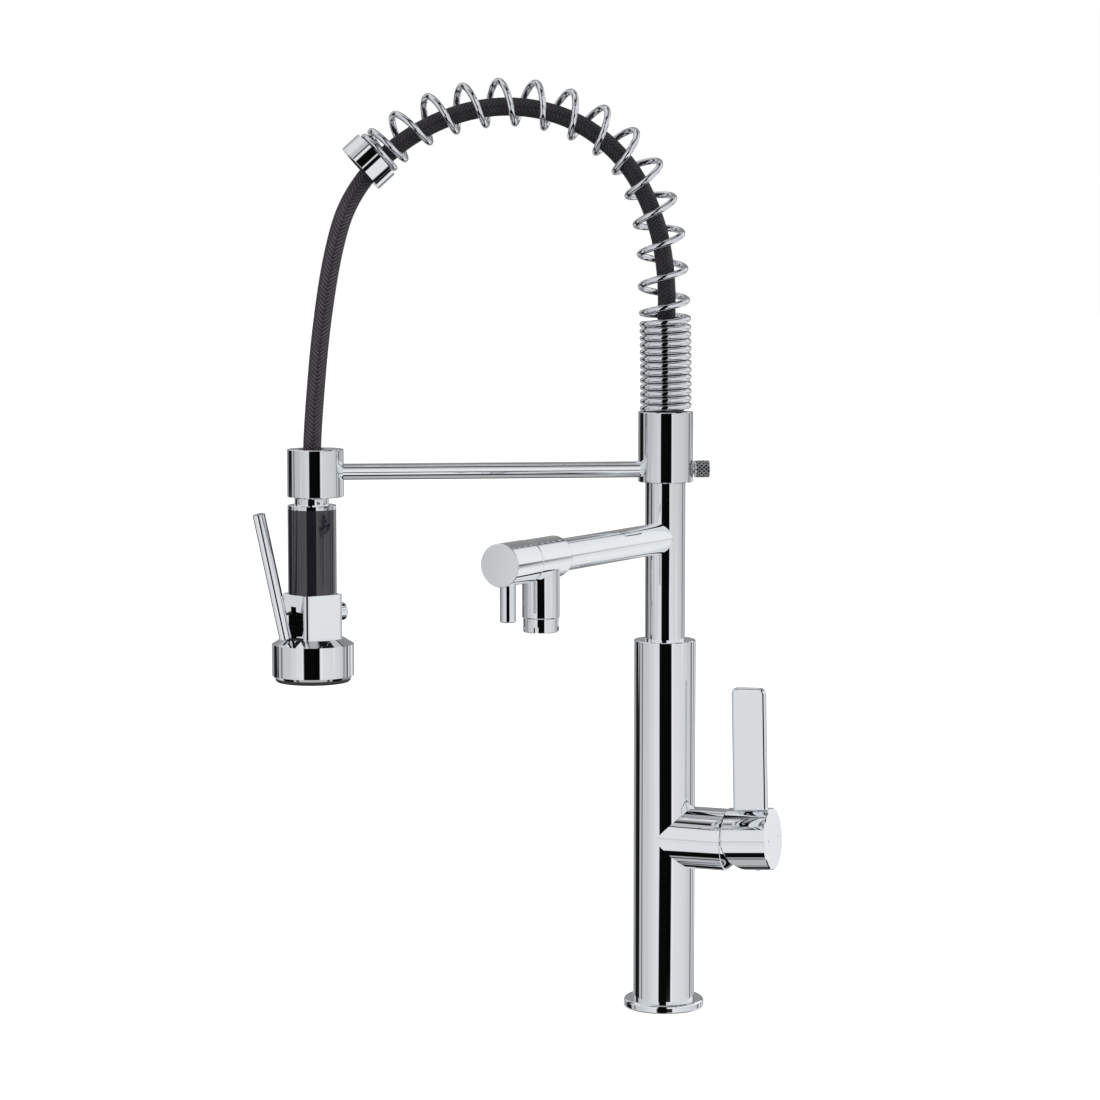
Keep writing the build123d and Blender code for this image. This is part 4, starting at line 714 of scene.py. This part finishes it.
# ---- Support spring ----
@dataclass(frozen=True)
class SupportSpring:
    """The round wire that is close-coiled at its foot, opens over the arch and closes again.

    Lengths are in millimetres. A run is a distance along the middle of the coil.

    Attributes:
        route: The middle's control points, as (reach, height) in the arm's plane.
        apart: The gap between the wire's end and the end sleeve's lip.
        lead: How far the wire turns before its first whole turn, in degrees.
        start: The run at which the first whole turn starts.
        closed_length: The run at which the closed turns start to open.
        pitch_ramp: The run over which their pitch opens.
        coil_ramp: The run over which the coil narrows.
        end_ramp: The run over which the turns close again.
        end_closed: The run of closed turns at the far end.
        coil_start: Where round the coil the first whole turn starts, in degrees.
        sleeve_lip: The depth of the sleeve's lip.
    """

    route: Pairs = (
        (0, 387), (0, 441), (1.6, 462), (3.0, 503), (18, 547), (52, 573.4),
        (92, 584.3), (132, 579.9), (167, 565.5), (194.3, 540.6),
    )
    wire_radius: float = 2.15
    apart: float = 0.3
    lead: float = 120.0
    start: float = 2.3
    closed_coil: float = 14.6
    open_coil: float = 13.3
    closed_pitch: float = 4.5
    open_pitch: float = 21.0
    closed_length: float = 55.3
    pitch_ramp: float = 20.0
    coil_ramp: float = 130.0
    end_ramp: float = 12.0
    end_closed: float = 17.0
    coil_start: float = 26.0
    sleeve_lip: float = 1.5
    route_steps: int = 24
    steps_per_turn: int = 36
    wire_rings: int = 3

    def pitch(self, run: float, length: float) -> float:
        """The pitch at a distance along the spring's middle line.

        Args:
            run: The distance.
            length: The middle line's whole length.

        Returns:
            The pitch.
        """
        opening = share_run(run - self.closed_length, self.pitch_ramp)
        closing = share_run(length - run - self.end_closed, self.end_ramp)
        return self.closed_pitch + (self.open_pitch - self.closed_pitch) * min(opening, closing)

    def coil(self, run: float) -> float:
        """The radius of the wire's centre line at a distance along the middle line."""
        opening = share_run(run - self.closed_length, self.coil_ramp)
        return self.closed_coil + (self.open_coil - self.closed_coil) * opening

    def wire_line(self) -> list[Vector]:
        """The wire's centre line, in metres, worked out turn by turn."""
        middle = Line.through(nurbs_line(ARM_PLANE.points(self.route), self.route_steps))
        length = middle.length / MM
        last = length - self.sleeve_lip - self.wire_radius - self.apart
        run = self.start - self.closed_pitch * self.lead / 360.0
        turn, line = self.coil_start - self.lead, []
        while run < last:
            place, along = middle.at(run * MM)
            outer = along.cross(ARM_PLANE.across)
            angle = math.radians(turn)
            around = outer * math.cos(angle) - ARM_PLANE.across * math.sin(angle)
            line.append(place + around * (self.coil(run) * MM))
            run += self.pitch(run, length) / self.steps_per_turn
            turn += 360.0 / self.steps_per_turn
        return line

    def build(self) -> None:
        """Makes the wire, in place of the model's own."""
        curve, _ = curve_through("POLY", self.wire_line())
        curve.bevel_depth = self.wire_radius * MM
        curve.bevel_resolution = self.wire_rings
        curve.use_fill_caps = True
        mesh = mesh_of(curve)
        shape = bmesh.new()
        shape.from_mesh(mesh)
        bpy.data.meshes.remove(mesh)
        bmesh.ops.remove_doubles(shape, verts=shape.verts, dist=MERGE)
        piece = finished("support_spring_wire", shape, WIRE)
        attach(piece, Body.ARM.value)
        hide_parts("support_spring")
        report(piece, Body.ARM.value)


# ---- Hose ----
@dataclass(frozen=True)
class BraidedHose:
    """The braided hose, from its ferrule on the riser to the hand spray's neck.

    Attributes:
        route: The model's own points, as (reach, height) in the arm's plane, in millimetres.
        radius: The hose's radius, in millimetres.
        length: Its real length. It is not used.
        sides: Sides of its tube.
        steps: Steps from one point of the route to the next.
        blend_start: Where the hose would start to bend, as (reach, height); worked out but not used.
        blend_end: Where it would move wholly with the hand spray; worked out but not used.
    """

    route: Pairs = (
        (0, 406), (0, 434), (-0.9, 472), (6.0, 510), (25.2, 547.4), (59, 573.4),
        (100, 582.0), (140.7, 574.2), (177.4, 552.2), (202.2, 522), (212.5, 488),
        (220, 440), (224.2, 395), (226.4, 362), (226.4, 341),
    )
    radius: float = 5.75
    length: float = 534.6
    sides: int = 28
    steps: int = 12
    blend_start: tuple[float, float] = (200.0, 528.0)
    blend_end: tuple[float, float] = (279.4, 397.8)

    def build(self) -> None:
        """Makes the hose along its route between the arm and the hand spray's neck."""
        path = nurbs_line(ARM_PLANE.points(self.route), self.steps)
        piece = finished("braided_hose", self._tube(path), BRAID)
        ARM_PLANE.point(*self.blend_start)
        ARM_PLANE.point(*self.blend_end)
        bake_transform(piece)
        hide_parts("spray_hose")
        report(piece, "arm and hose_swivel")

    def _tube(self, path: Sequence[Vector]) -> bmesh.types.BMesh:
        """A tube along the path, with a UV map that runs along it in girths.

        Args:
            path: The points that it follows.

        Returns:
            The closed mesh.
        """
        frames = self._frames(path)
        girth = math.tau * self.radius * MM
        shape = bmesh.new()
        rank = shape.verts.layers.int.new("ring")
        lay = shape.loops.layers.uv.new("braid")
        first = bmesh.ops.create_circle(shape, cap_ends=False, radius=self.radius * MM,
                                        segments=self.sides, matrix=frames[0])["verts"]
        rim = list({edge for vertex in first for edge in vertex.link_edges})
        first_rim = list(rim)
        for n in range(1, len(path)):
            grown = bmesh.ops.extrude_edge_only(shape, edges=rim)["geom"]
            fresh = [item for item in grown if isinstance(item, bmesh.types.BMVert)]
            known = set(fresh)
            rim = [item for item in grown if isinstance(item, bmesh.types.BMEdge)
                   and item.verts[0] in known and item.verts[1] in known]
            bmesh.ops.transform(shape, matrix=frames[n] @ frames[n - 1].inverted(), verts=fresh)
            for vertex in fresh:
                vertex[rank] = n
        runs = Line.through(path).runs
        turned = [frame_at.inverted() for frame_at in frames]
        for face in shape.faces:
            around = []
            for loop in face.loops:
                local = turned[loop.vert[rank]] @ loop.vert.co
                around.append(math.atan2(local.y, local.x) / math.tau)
            if max(around) - min(around) > 0.5:
                around = [share + 1.0 if share < 0 else share for share in around]
            for loop, share in zip(face.loops, around):
                loop[lay].uv = (share, runs[loop.vert[rank]] / girth)
        bmesh.ops.contextual_create(shape, geom=first_rim)
        bmesh.ops.contextual_create(shape, geom=rim)
        return shape

    @staticmethod
    def _frames(path: Sequence[Vector]) -> list[Matrix]:
        """A frame at each point of the path, turned as little as possible from one to the next.

        Args:
            path: The points.

        Returns:
            A matrix for each point, its Z along the path.
        """
        side, frames = ARM_PLANE.across.copy(), []
        for n, spot in enumerate(path):
            along = (path[min(n + 1, len(path) - 1)] - path[max(n - 1, 0)]).normalized()
            side = (side - along * side.dot(along)).normalized()
            frames.append(seat(spot, side, along))
        return frames


# ---- Thumb screw ----
@dataclass(frozen=True)
class ThumbScrew:
    """The knurled screw that clamps the arm's collar. Lengths are in millimetres.

    Attributes:
        azimuth: Its direction from the column, in degrees.
        head_start: How far from the column's axis the head starts.
        shank_start: How far from it the shank shows.
        edge: The head's chamfer.
        diamonds: Ridges of each hand round the head.
        depth: Depth of the pits between them.
        hollow: How flat a pit's floor is. Higher is flatter, with thinner ridges.
        fade: How far in from the ends the pits reach their depth.
        dark: How much sooner than its floor a pit reaches its full painted shade.
        steps: Sides of the head.
        rows: Rows of faces along it.
    """

    azimuth: float = 27.5
    height: float = 350.0
    head_start: float = 18.45
    head_radius: float = 5.6
    head_length: float = 10.1
    edge: float = 0.7
    shank_radius: float = 2.9
    shank_start: float = 13.3
    diamonds: int = 12
    depth: float = 0.75
    hollow: float = 2.5
    fade: float = 0.3
    dark: float = 1.25
    steps: int = 144
    rows: int = 40

    def build(self) -> None:
        """Makes the screw, in place of the model's plain one."""
        low, high = self.edge, self.head_length - self.edge
        rows = [(self.head_radius, low + (high - low) * n / self.rows) for n in range(self.rows + 1)]
        tip, floor = self.shank_start - self.head_start, self.head_length - self.edge / 2
        under = [(0.0, tip), (self.shank_radius, tip), (self.shank_radius, 0.0),
                 (self.head_radius - self.edge, 0.0)]
        dish = [(self.head_radius - self.edge, self.head_length),
                (self.head_radius - 2 * self.edge, floor), (0.0, floor)]
        shape = spun([*under, *rows, *dish], self.steps)
        pits = shape.verts.layers.float.new("pit")
        for vertex in shape.verts:
            vertex[pits] = self._knurl(vertex, low * MM, high * MM)
        out, up = toward(self.azimuth), Vector((0.0, 0.0, 1.0))
        start = out * (self.head_start * MM) + up * (self.height * MM)
        bmesh.ops.transform(shape, matrix=seat(start, up, out), verts=shape.verts)
        piece = finished("knurled_thumb_screw", shape, KNURL, smooth_below=50.0)
        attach(piece, Body.THUMB_SCREW.value)
        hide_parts("thumb_screw")
        report(piece, Body.THUMB_SCREW.value)

    def _knurl(self, vertex: bmesh.types.BMVert, low: float, high: float) -> float:
        """Presses the pits between two crossing sets of ridges into the head's side.

        Args:
            vertex: A point of the head.
            low: Where the knurling starts, in metres.
            high: Where it ends.

        Returns:
            How deep the point lies in a pit, from 0 to 1, which sets its painted shade and dullness.
        """
        radius = math.hypot(vertex.co.x, vertex.co.y)
        if radius < (self.head_radius - 0.01) * MM:
            return 0.0
        angle = math.atan2(vertex.co.y, vertex.co.x) / math.tau * self.diamonds
        climb = vertex.co.z / (math.tau * self.head_radius * MM) * self.diamonds
        ridges = [abs(((angle + way * climb) % 1.0) * 2.0 - 1.0) for way in (1.0, -1.0)]
        inward = min(vertex.co.z - low, high - vertex.co.z) / (self.fade * MM)
        deep = (1.0 - max(ridges) ** self.hollow) * min(1.0, inward)
        share = 1.0 - self.depth * MM * deep / radius
        vertex.co.x *= share
        vertex.co.y *= share
        return min(1.0, self.dark * deep)


# ---- Lever dots ----
@dataclass(frozen=True)
class LeverDots:
    """The plain red and blue dots on the lever hub's face. Lengths are in millimetres.

    Attributes:
        raised: How far the hub tips up, in degrees.
        face: The face's distance from the pivot.
        spread: How far each dot is from the face's middle.
        crown: The share of a dot's radius that its flat top takes.
    """

    pivot_reach: float = 33.0
    pivot_height: float = 112.0
    raised: float = 3.7
    face: float = 41.0
    spread: float = 10.0
    radius: float = 0.75
    crown: float = 0.9
    proud: float = 0.02
    sunk: float = 0.2
    sides: int = 24

    def build(self) -> None:
        """Makes the two dots."""
        tilt = math.radians(self.raised)
        out = Vector((math.cos(tilt), 0.0, math.sin(tilt)))
        side = Vector((0.0, 1.0, 0.0))
        centre = Vector((self.pivot_reach, 0.0, self.pivot_height)) * MM + out * (self.face * MM)
        profile = [(0.0, -self.sunk), (self.radius, -self.sunk), (self.radius, 0.0),
                   (self.crown * self.radius, self.proud), (0.0, self.proud)]
        for name, finish, way in (("blue_dot", BLUE_DOT, -1.0), ("red_dot", RED_DOT, 1.0)):
            shape = spun(profile, self.sides)
            spot = seat(centre + side * (way * self.spread * MM), side, out)
            bmesh.ops.transform(shape, matrix=spot, verts=shape.verts)
            piece = finished(name, shape, finish)
            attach(piece, Body.LEVER.value)
            report(piece, Body.LEVER.value)


# ---- Spray nozzles ----
@dataclass(frozen=True)
class SprayNozzles:
    """The soft nozzles round the holes of the spray's rubber face. Lengths are in millimetres.

    Attributes:
        face: The face's height.
        rings: The (radius, count) of each ring of nozzles.
        root: How deep a nozzle is set in the face.
        foot: Its radius there.
        collar: How far the foot stands out of the face.
        tip: Its radius at the end.
        bevel: The bevel there.
        lip: How thick the end is round the hole.
    """

    reach: float = 226.4
    trigger_azimuth: float = -124.0
    face: float = 216.5
    rings: tuple[tuple[float, int], ...] = ((5.0, 6), (11.5, 12), (18.0, 18))
    hole: float = 0.6
    root: float = 0.3
    foot: float = 1.35
    collar: float = 0.05
    tip: float = 0.95
    bevel: float = 0.12
    lip: float = 0.04
    proud: float = 0.7
    sides: int = 14

    def build(self) -> None:
        """Makes the nozzles as one piece."""
        centre = ARM_PLANE.point(self.reach, self.face)
        profile = [(self.hole, self.root), (self.foot, self.root), (self.foot, -self.collar),
                   (self.tip, -self.proud + self.bevel), (self.tip - self.bevel, -self.proud),
                   (self.hole + self.lip, -self.proud), (self.hole, self.root)]
        nozzle = spun(profile, self.sides)
        first = bpy.data.meshes.new("nozzle")
        nozzle.to_mesh(first)
        nozzle.free()
        shape = bmesh.new()
        for radius, count in self.rings:
            for n in range(count):
                offset = toward(self.trigger_azimuth + 360.0 * n / count) * (radius * MM)
                before = set(shape.verts)
                shape.from_mesh(first)
                fresh = [vertex for vertex in shape.verts if vertex not in before]
                bmesh.ops.translate(shape, vec=centre + offset, verts=fresh)
        bpy.data.meshes.remove(first)
        piece = finished("spray_nozzles", shape, RUBBER)
        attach(piece, Body.HANDSET.value)
        report(piece, Body.HANDSET.value)


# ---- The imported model's own pieces ----
def dress_nodes(loaded: dict[str, Any]) -> None:
    """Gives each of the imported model's own nodes the finish of its slot.
    """
    slots = {part["node"]: part["material_slot"] for part in loaded["record"]["subparts"]}
    by_slot = {finish.slot.value: finish for finish in FINISHES}
    for name, node in loaded["nodes"].items():
        finish = by_slot[slots[name]]
        if not node.material_slots:
            node.data.materials.append(finish.material())
        for held in node.material_slots:
            held.material = finish.material()
        LOG.info("%s: dressed in %s", name, finish.name)


# ---- Studio ----
@dataclass(frozen=True)
class Window:
    """A lit patch of the studio's walls that one flat face of the tap mirrors.

    Attributes:
        start: Where it starts, in degrees to the right of the camera.
        end: Where it ends.
        bottom: Its lower edge, in degrees above level.
        top: Its upper edge.
        level: Its brightness.
    """

    start: float
    end: float
    bottom: float
    top: float
    level: float


class Sky:
    """Levels of grey looked up by where a ray leaves for the studio's walls."""

    def __init__(self, shader: Shader, column_turn: float) -> None:
        """Works out the ray's azimuth and height.

        Args:
            shader: The world's tree.
            column_turn: The azimuth at which the camera sees the column, in degrees.
        """
        self.shader = shader
        way = shader.node("ShaderNodeSeparateXYZ",
                          inputs={0: shader.node("ShaderNodeTexCoord").outputs["Generated"]})
        x, y, z = (Value(shader, socket) for socket in way.outputs)
        turn = math.radians(column_turn)
        right = x * math.cos(turn) + y * math.sin(turn)
        back = x * math.sin(turn) - y * math.cos(turn)
        self.azimuth = right.math("ARCTAN2", back) / math.tau + 0.5
        self.height = z.largest(-1.0).smallest(1.0).math("ARCSINE") / math.pi + 0.5

    def by_turn(self, stops: Pairs) -> Value:
        """The level by (degrees to the right of the camera, level) pairs."""
        return self._level(self.azimuth, 360.0, stops)

    def by_height(self, stops: Pairs) -> Value:
        """The level by (degrees above level, level) pairs."""
        return self._level(self.height, 180.0, stops)

    def inside(self, window: Window, edge: float) -> Value:
        """1 inside a window and 0 outside, softened over an edge in degrees."""
        across, up = (((low, 0.0), (low + edge, 1.0), (high - edge, 1.0), (high, 0.0))
                      for low, high in ((window.start, window.end), (window.bottom, window.top)))
        return self.by_turn(across) * self.by_height(up)

    def _level(self, angle: Value, span: float, stops: Pairs) -> Value:
        """The level by an angle that goes from 0 to 1 over its span in degrees."""
        places = [(place / span + 0.5, float(level)) for place, level in stops]
        return self.shader.value("ShaderNodeValToRGB", "Color", {"stops": places}, {"Fac": angle})


@dataclass(frozen=True)
class Studio:
    """The camera, floor, lamps and walls.

    Levels and shares are given as (degrees, level) pairs, by turn to the right of the camera or by
    height above level.

    Attributes:
        turn: The camera's azimuth, in degrees, where 0 looks along +Y.
        dip: How far it looks down, in degrees.
        eye: Where it stands, in metres.
        focal: Focal length in frame widths.
        sensor: The sensor's width.
        column_turn: The azimuth at which it sees the column.
        deep: Where the floor's face lies, in metres.
        pale: The floor's colour.
        glow: What the floor gives off towards the camera, besides.
        lamps: The name, place, size and power of each lamp.
        aim: Where they point.
        even: The light that all but mirrors see.
        panels: The walls' upright strips, each as (start, end, level at its start, level at its end).
        dusk: How much of their level they keep, by height.
        beyond: The walls above and below the panels, by turn.
        horizon: The share that the panels take of them, by height.
        windows: Lit patches that flat faces mirror.
        edge: How far the windows' edges are softened, in degrees.
        low: The deck below the walls, by height.
        high: The ceiling above them, by height.
        left: The share of the ceiling that its left side takes, by turn.
        left_level: That side's level.
        gap: The share of the dark gap ahead of the tap, by turn.
        gap_height: The same by height.
        gap_level: The gap's level.
    """

    turn: float = 21.0
    dip: float = 5.53
    eye: Triple = (0.642, -1.879, 0.490)
    focal: float = 3100.0 / 1100.0
    sensor: float = 36.0
    column_turn: float = 18.9
    deep: float = -0.0002
    pale: float = 0.93
    glow: float = 0.42
    lamps: tuple[tuple[str, Triple, float, float], ...] = (
        ("key_lamp", (-1.3, -1.5, 1.7), 1.4, 22.0), ("fill_lamp", (1.6, -0.9, 1.3), 1.6, 12.0),
    )
    aim: Triple = (0.0, 0.0, 0.3)
    even: float = 0.80
    panels: tuple[tuple[float, float, float, float], ...] = (
        (-180, -152, 0.80, 0.50), (-149, -134, 0.40, 0.26), (-130, -106, 0.01, 0.01),
        (-103, -95, 0.60, 0.54), (-92.5, -90.5, 0.14, 0.14), (-86, -62, 0.64, 0.66),
        (-58, -26, 0.70, 0.84), (-24, -21, 0.86, 0.86), (-18.5, 24.5, 0.002, 0.002),
        (27, 30, 0.96, 0.96), (33, 84, 0.84, 0.76), (86, 112, 0.74, 0.64),
        (115, 121, 0.13, 0.13), (123, 128, 0.86, 0.86), (130, 160, 0.36, 0.36),
        (165, 180, 0.45, 0.80),
    )
    dusk: Pairs = ((-14, 1), (-8, 0.98), (-5, 0.88), (-2, 0.84))
    beyond: Pairs = (
        (-180, 0.30), (-153, 0.34), (-145, 0.66), (-130, 0.60), (-126, 0.03), (-112, 0.03),
        (-108, 0.70), (-60, 0.78), (-24, 0.88), (20, 0.90), (40, 0.88), (90, 0.86),
        (123, 0.94), (148, 0.86), (150.5, 0.08), (153, 0.24), (180, 0.30),
    )
    horizon: Pairs = ((-17, 0), (-14, 1), (-2, 1), (1, 0))
    windows: tuple[Window, ...] = (
        Window(136.0, 152.0, -15.0, -3.0, 0.88),  # the hub's face
        Window(-40.5, -35.0, -16.0, -5.0, 0.81),  # the lever's blade
        Window(-59.0, -52.5, -7.5, -3.5, 0.85),  # the knob's face
        Window(-116.0, -108.5, -8.5, -4.5, 0.74),  # the valve block's side under the trigger
        Window(64.0, 72.0, -8.5, -4.5, 0.86),  # the valve block's other side
    )
    edge: float = 1.5
    low: Pairs = (
        (-90, 0.46), (-69, 0.52), (-67, 0.06), (-65, 0.06), (-63, 0.52), (-61, 0.50),
        (-59.5, 0.003), (-42.5, 0.003), (-41, 0.62),
    )
    high: Pairs = (
        (38, 0.66), (39, 0.04), (41, 0.04), (43, 0.58), (53, 0.60), (54.5, 0.01), (67.5, 0.01),
        (69, 0.50), (90, 0.60),
    )
    left: Pairs = ((-175, 0), (-155, 1), (-75, 1), (-55, 0))
    left_level: float = 0.82
    gap: Pairs = ((-18.5, 0), (-16.5, 1), (9.5, 1), (11, 0))
    gap_height: Pairs = ((-78, 0), (-72, 1), (66, 1), (74, 0))
    gap_level: float = 0.003

    def build(self) -> None:
        """Sets up everything round the tap."""
        self._camera()
        self._floor()
        self._lamps()
        self._world()
        bpy.context.scene.view_settings.view_transform = "Standard"

    def _camera(self) -> None:
        """Makes the camera that took the photograph."""
        data = bpy.data.cameras.new("camera")
        data.sensor_width = self.sensor
        data.lens = self.focal * self.sensor
        data.clip_end = 100.0
        camera = linked("camera", data)
        turn, dip = math.radians(self.turn), math.radians(self.dip)
        look = Vector((-math.sin(turn) * math.cos(dip), math.cos(turn) * math.cos(dip), -math.sin(dip)))
        camera.location = self.eye
        camera.rotation_euler = look.to_track_quat("-Z", "Y").to_euler()
        bpy.context.scene.camera = camera

    def _floor(self) -> None:
        """Makes the pale floor, which keeps the tap's shadow."""
        shape = bmesh.new()
        bmesh.ops.create_grid(shape, x_segments=1, y_segments=1, size=20.0,
                              matrix=Matrix.Translation((0.0, 0.0, self.deep)))
        data = bpy.data.meshes.new("floor")
        shape.to_mesh(data)
        shape.free()
        floor = linked("floor", data)
        material = bpy.data.materials.new("pale_floor")
        material.use_nodes = True
        shader = Shader(material.node_tree)
        paint = shader.node("ShaderNodeBsdfDiffuse", inputs={"Color": grey(self.pale)})
        seen = shader.value("ShaderNodeLightPath", "Is Camera Ray")
        glow = shader.node("ShaderNodeEmission", inputs={"Color": WHITE, "Strength": seen * self.glow})
        both = shader.node("ShaderNodeAddShader", inputs={0: paint.outputs[0], 1: glow.outputs[0]})
        shader.node("ShaderNodeOutputMaterial", inputs={"Surface": both.outputs[0]})
        floor.data.materials.append(material)
        floor.visible_glossy = False

    def _lamps(self) -> None:
        """Hangs two soft lamps, which the chrome doesn't mirror."""
        for name, place, size, power in self.lamps:
            data = bpy.data.lights.new(name, "AREA")
            data.size = size
            data.energy = power
            lamp = linked(name, data)
            lamp.location = place
            way = Vector(self.aim) - Vector(place)
            lamp.rotation_euler = way.to_track_quat("-Z", "Y").to_euler()
            lamp.visible_glossy = False

    def _world(self) -> None:
        """Makes a white background, even light, and the panels that polished faces mirror."""
        world = bpy.data.worlds.new("studio")
        bpy.context.scene.world = world
        world.use_nodes = True
        shader = Shader(world.node_tree)
        sky = Sky(shader, self.column_turn)
        strips = tuple(stop for start, end, near, far in self.panels for stop in ((start, near), (end, far)))
        panels = shader.mix(sky.by_height(self.dusk), BLACK, sky.by_turn(strips))
        walls = shader.mix(sky.by_height(self.horizon), sky.by_turn(self.beyond), panels)
        for window in self.windows:
            walls = shader.mix(sky.inside(window, self.edge), walls, grey(window.level))
        ceiling = shader.mix(sky.by_turn(self.left), sky.by_height(self.high), grey(self.left_level))
        above = sky.height.math("GREATER_THAN", self.high[0][0] / 180.0 + 0.5)
        below = sky.height.math("LESS_THAN", self.low[-1][0] / 180.0 + 0.5)
        open_room = shader.mix(below, shader.mix(above, walls, ceiling), sky.by_height(self.low))
        gap = sky.by_turn(self.gap) * sky.by_height(self.gap_height)
        room = shader.mix(gap, open_room, grey(self.gap_level))
        paths = shader.node("ShaderNodeLightPath")
        plain = shader.mix(paths.outputs["Is Camera Ray"], grey(self.even), WHITE)
        clear = shader.mix(paths.outputs["Is Transmission Ray"], plain, WHITE)
        seen = shader.mix(paths.outputs["Is Glossy Ray"], clear, room)
        back = shader.node("ShaderNodeBackground", inputs={"Color": seen, "Strength": 1.0})
        shader.node("ShaderNodeOutputWorld", inputs={"Surface": back.outputs[0]})


def main() -> None:
    """Builds the scene in order."""
    logging.basicConfig(level=logging.INFO, format="%(name)s: %(message)s")
    Studio().build()
    BraidedHose().build()
    SupportSpring().build()
    ThumbScrew().build()
    LeverDots().build()
    SprayNozzles().build()
    dress_nodes(frame)


if __name__ == "__main__":
    main()
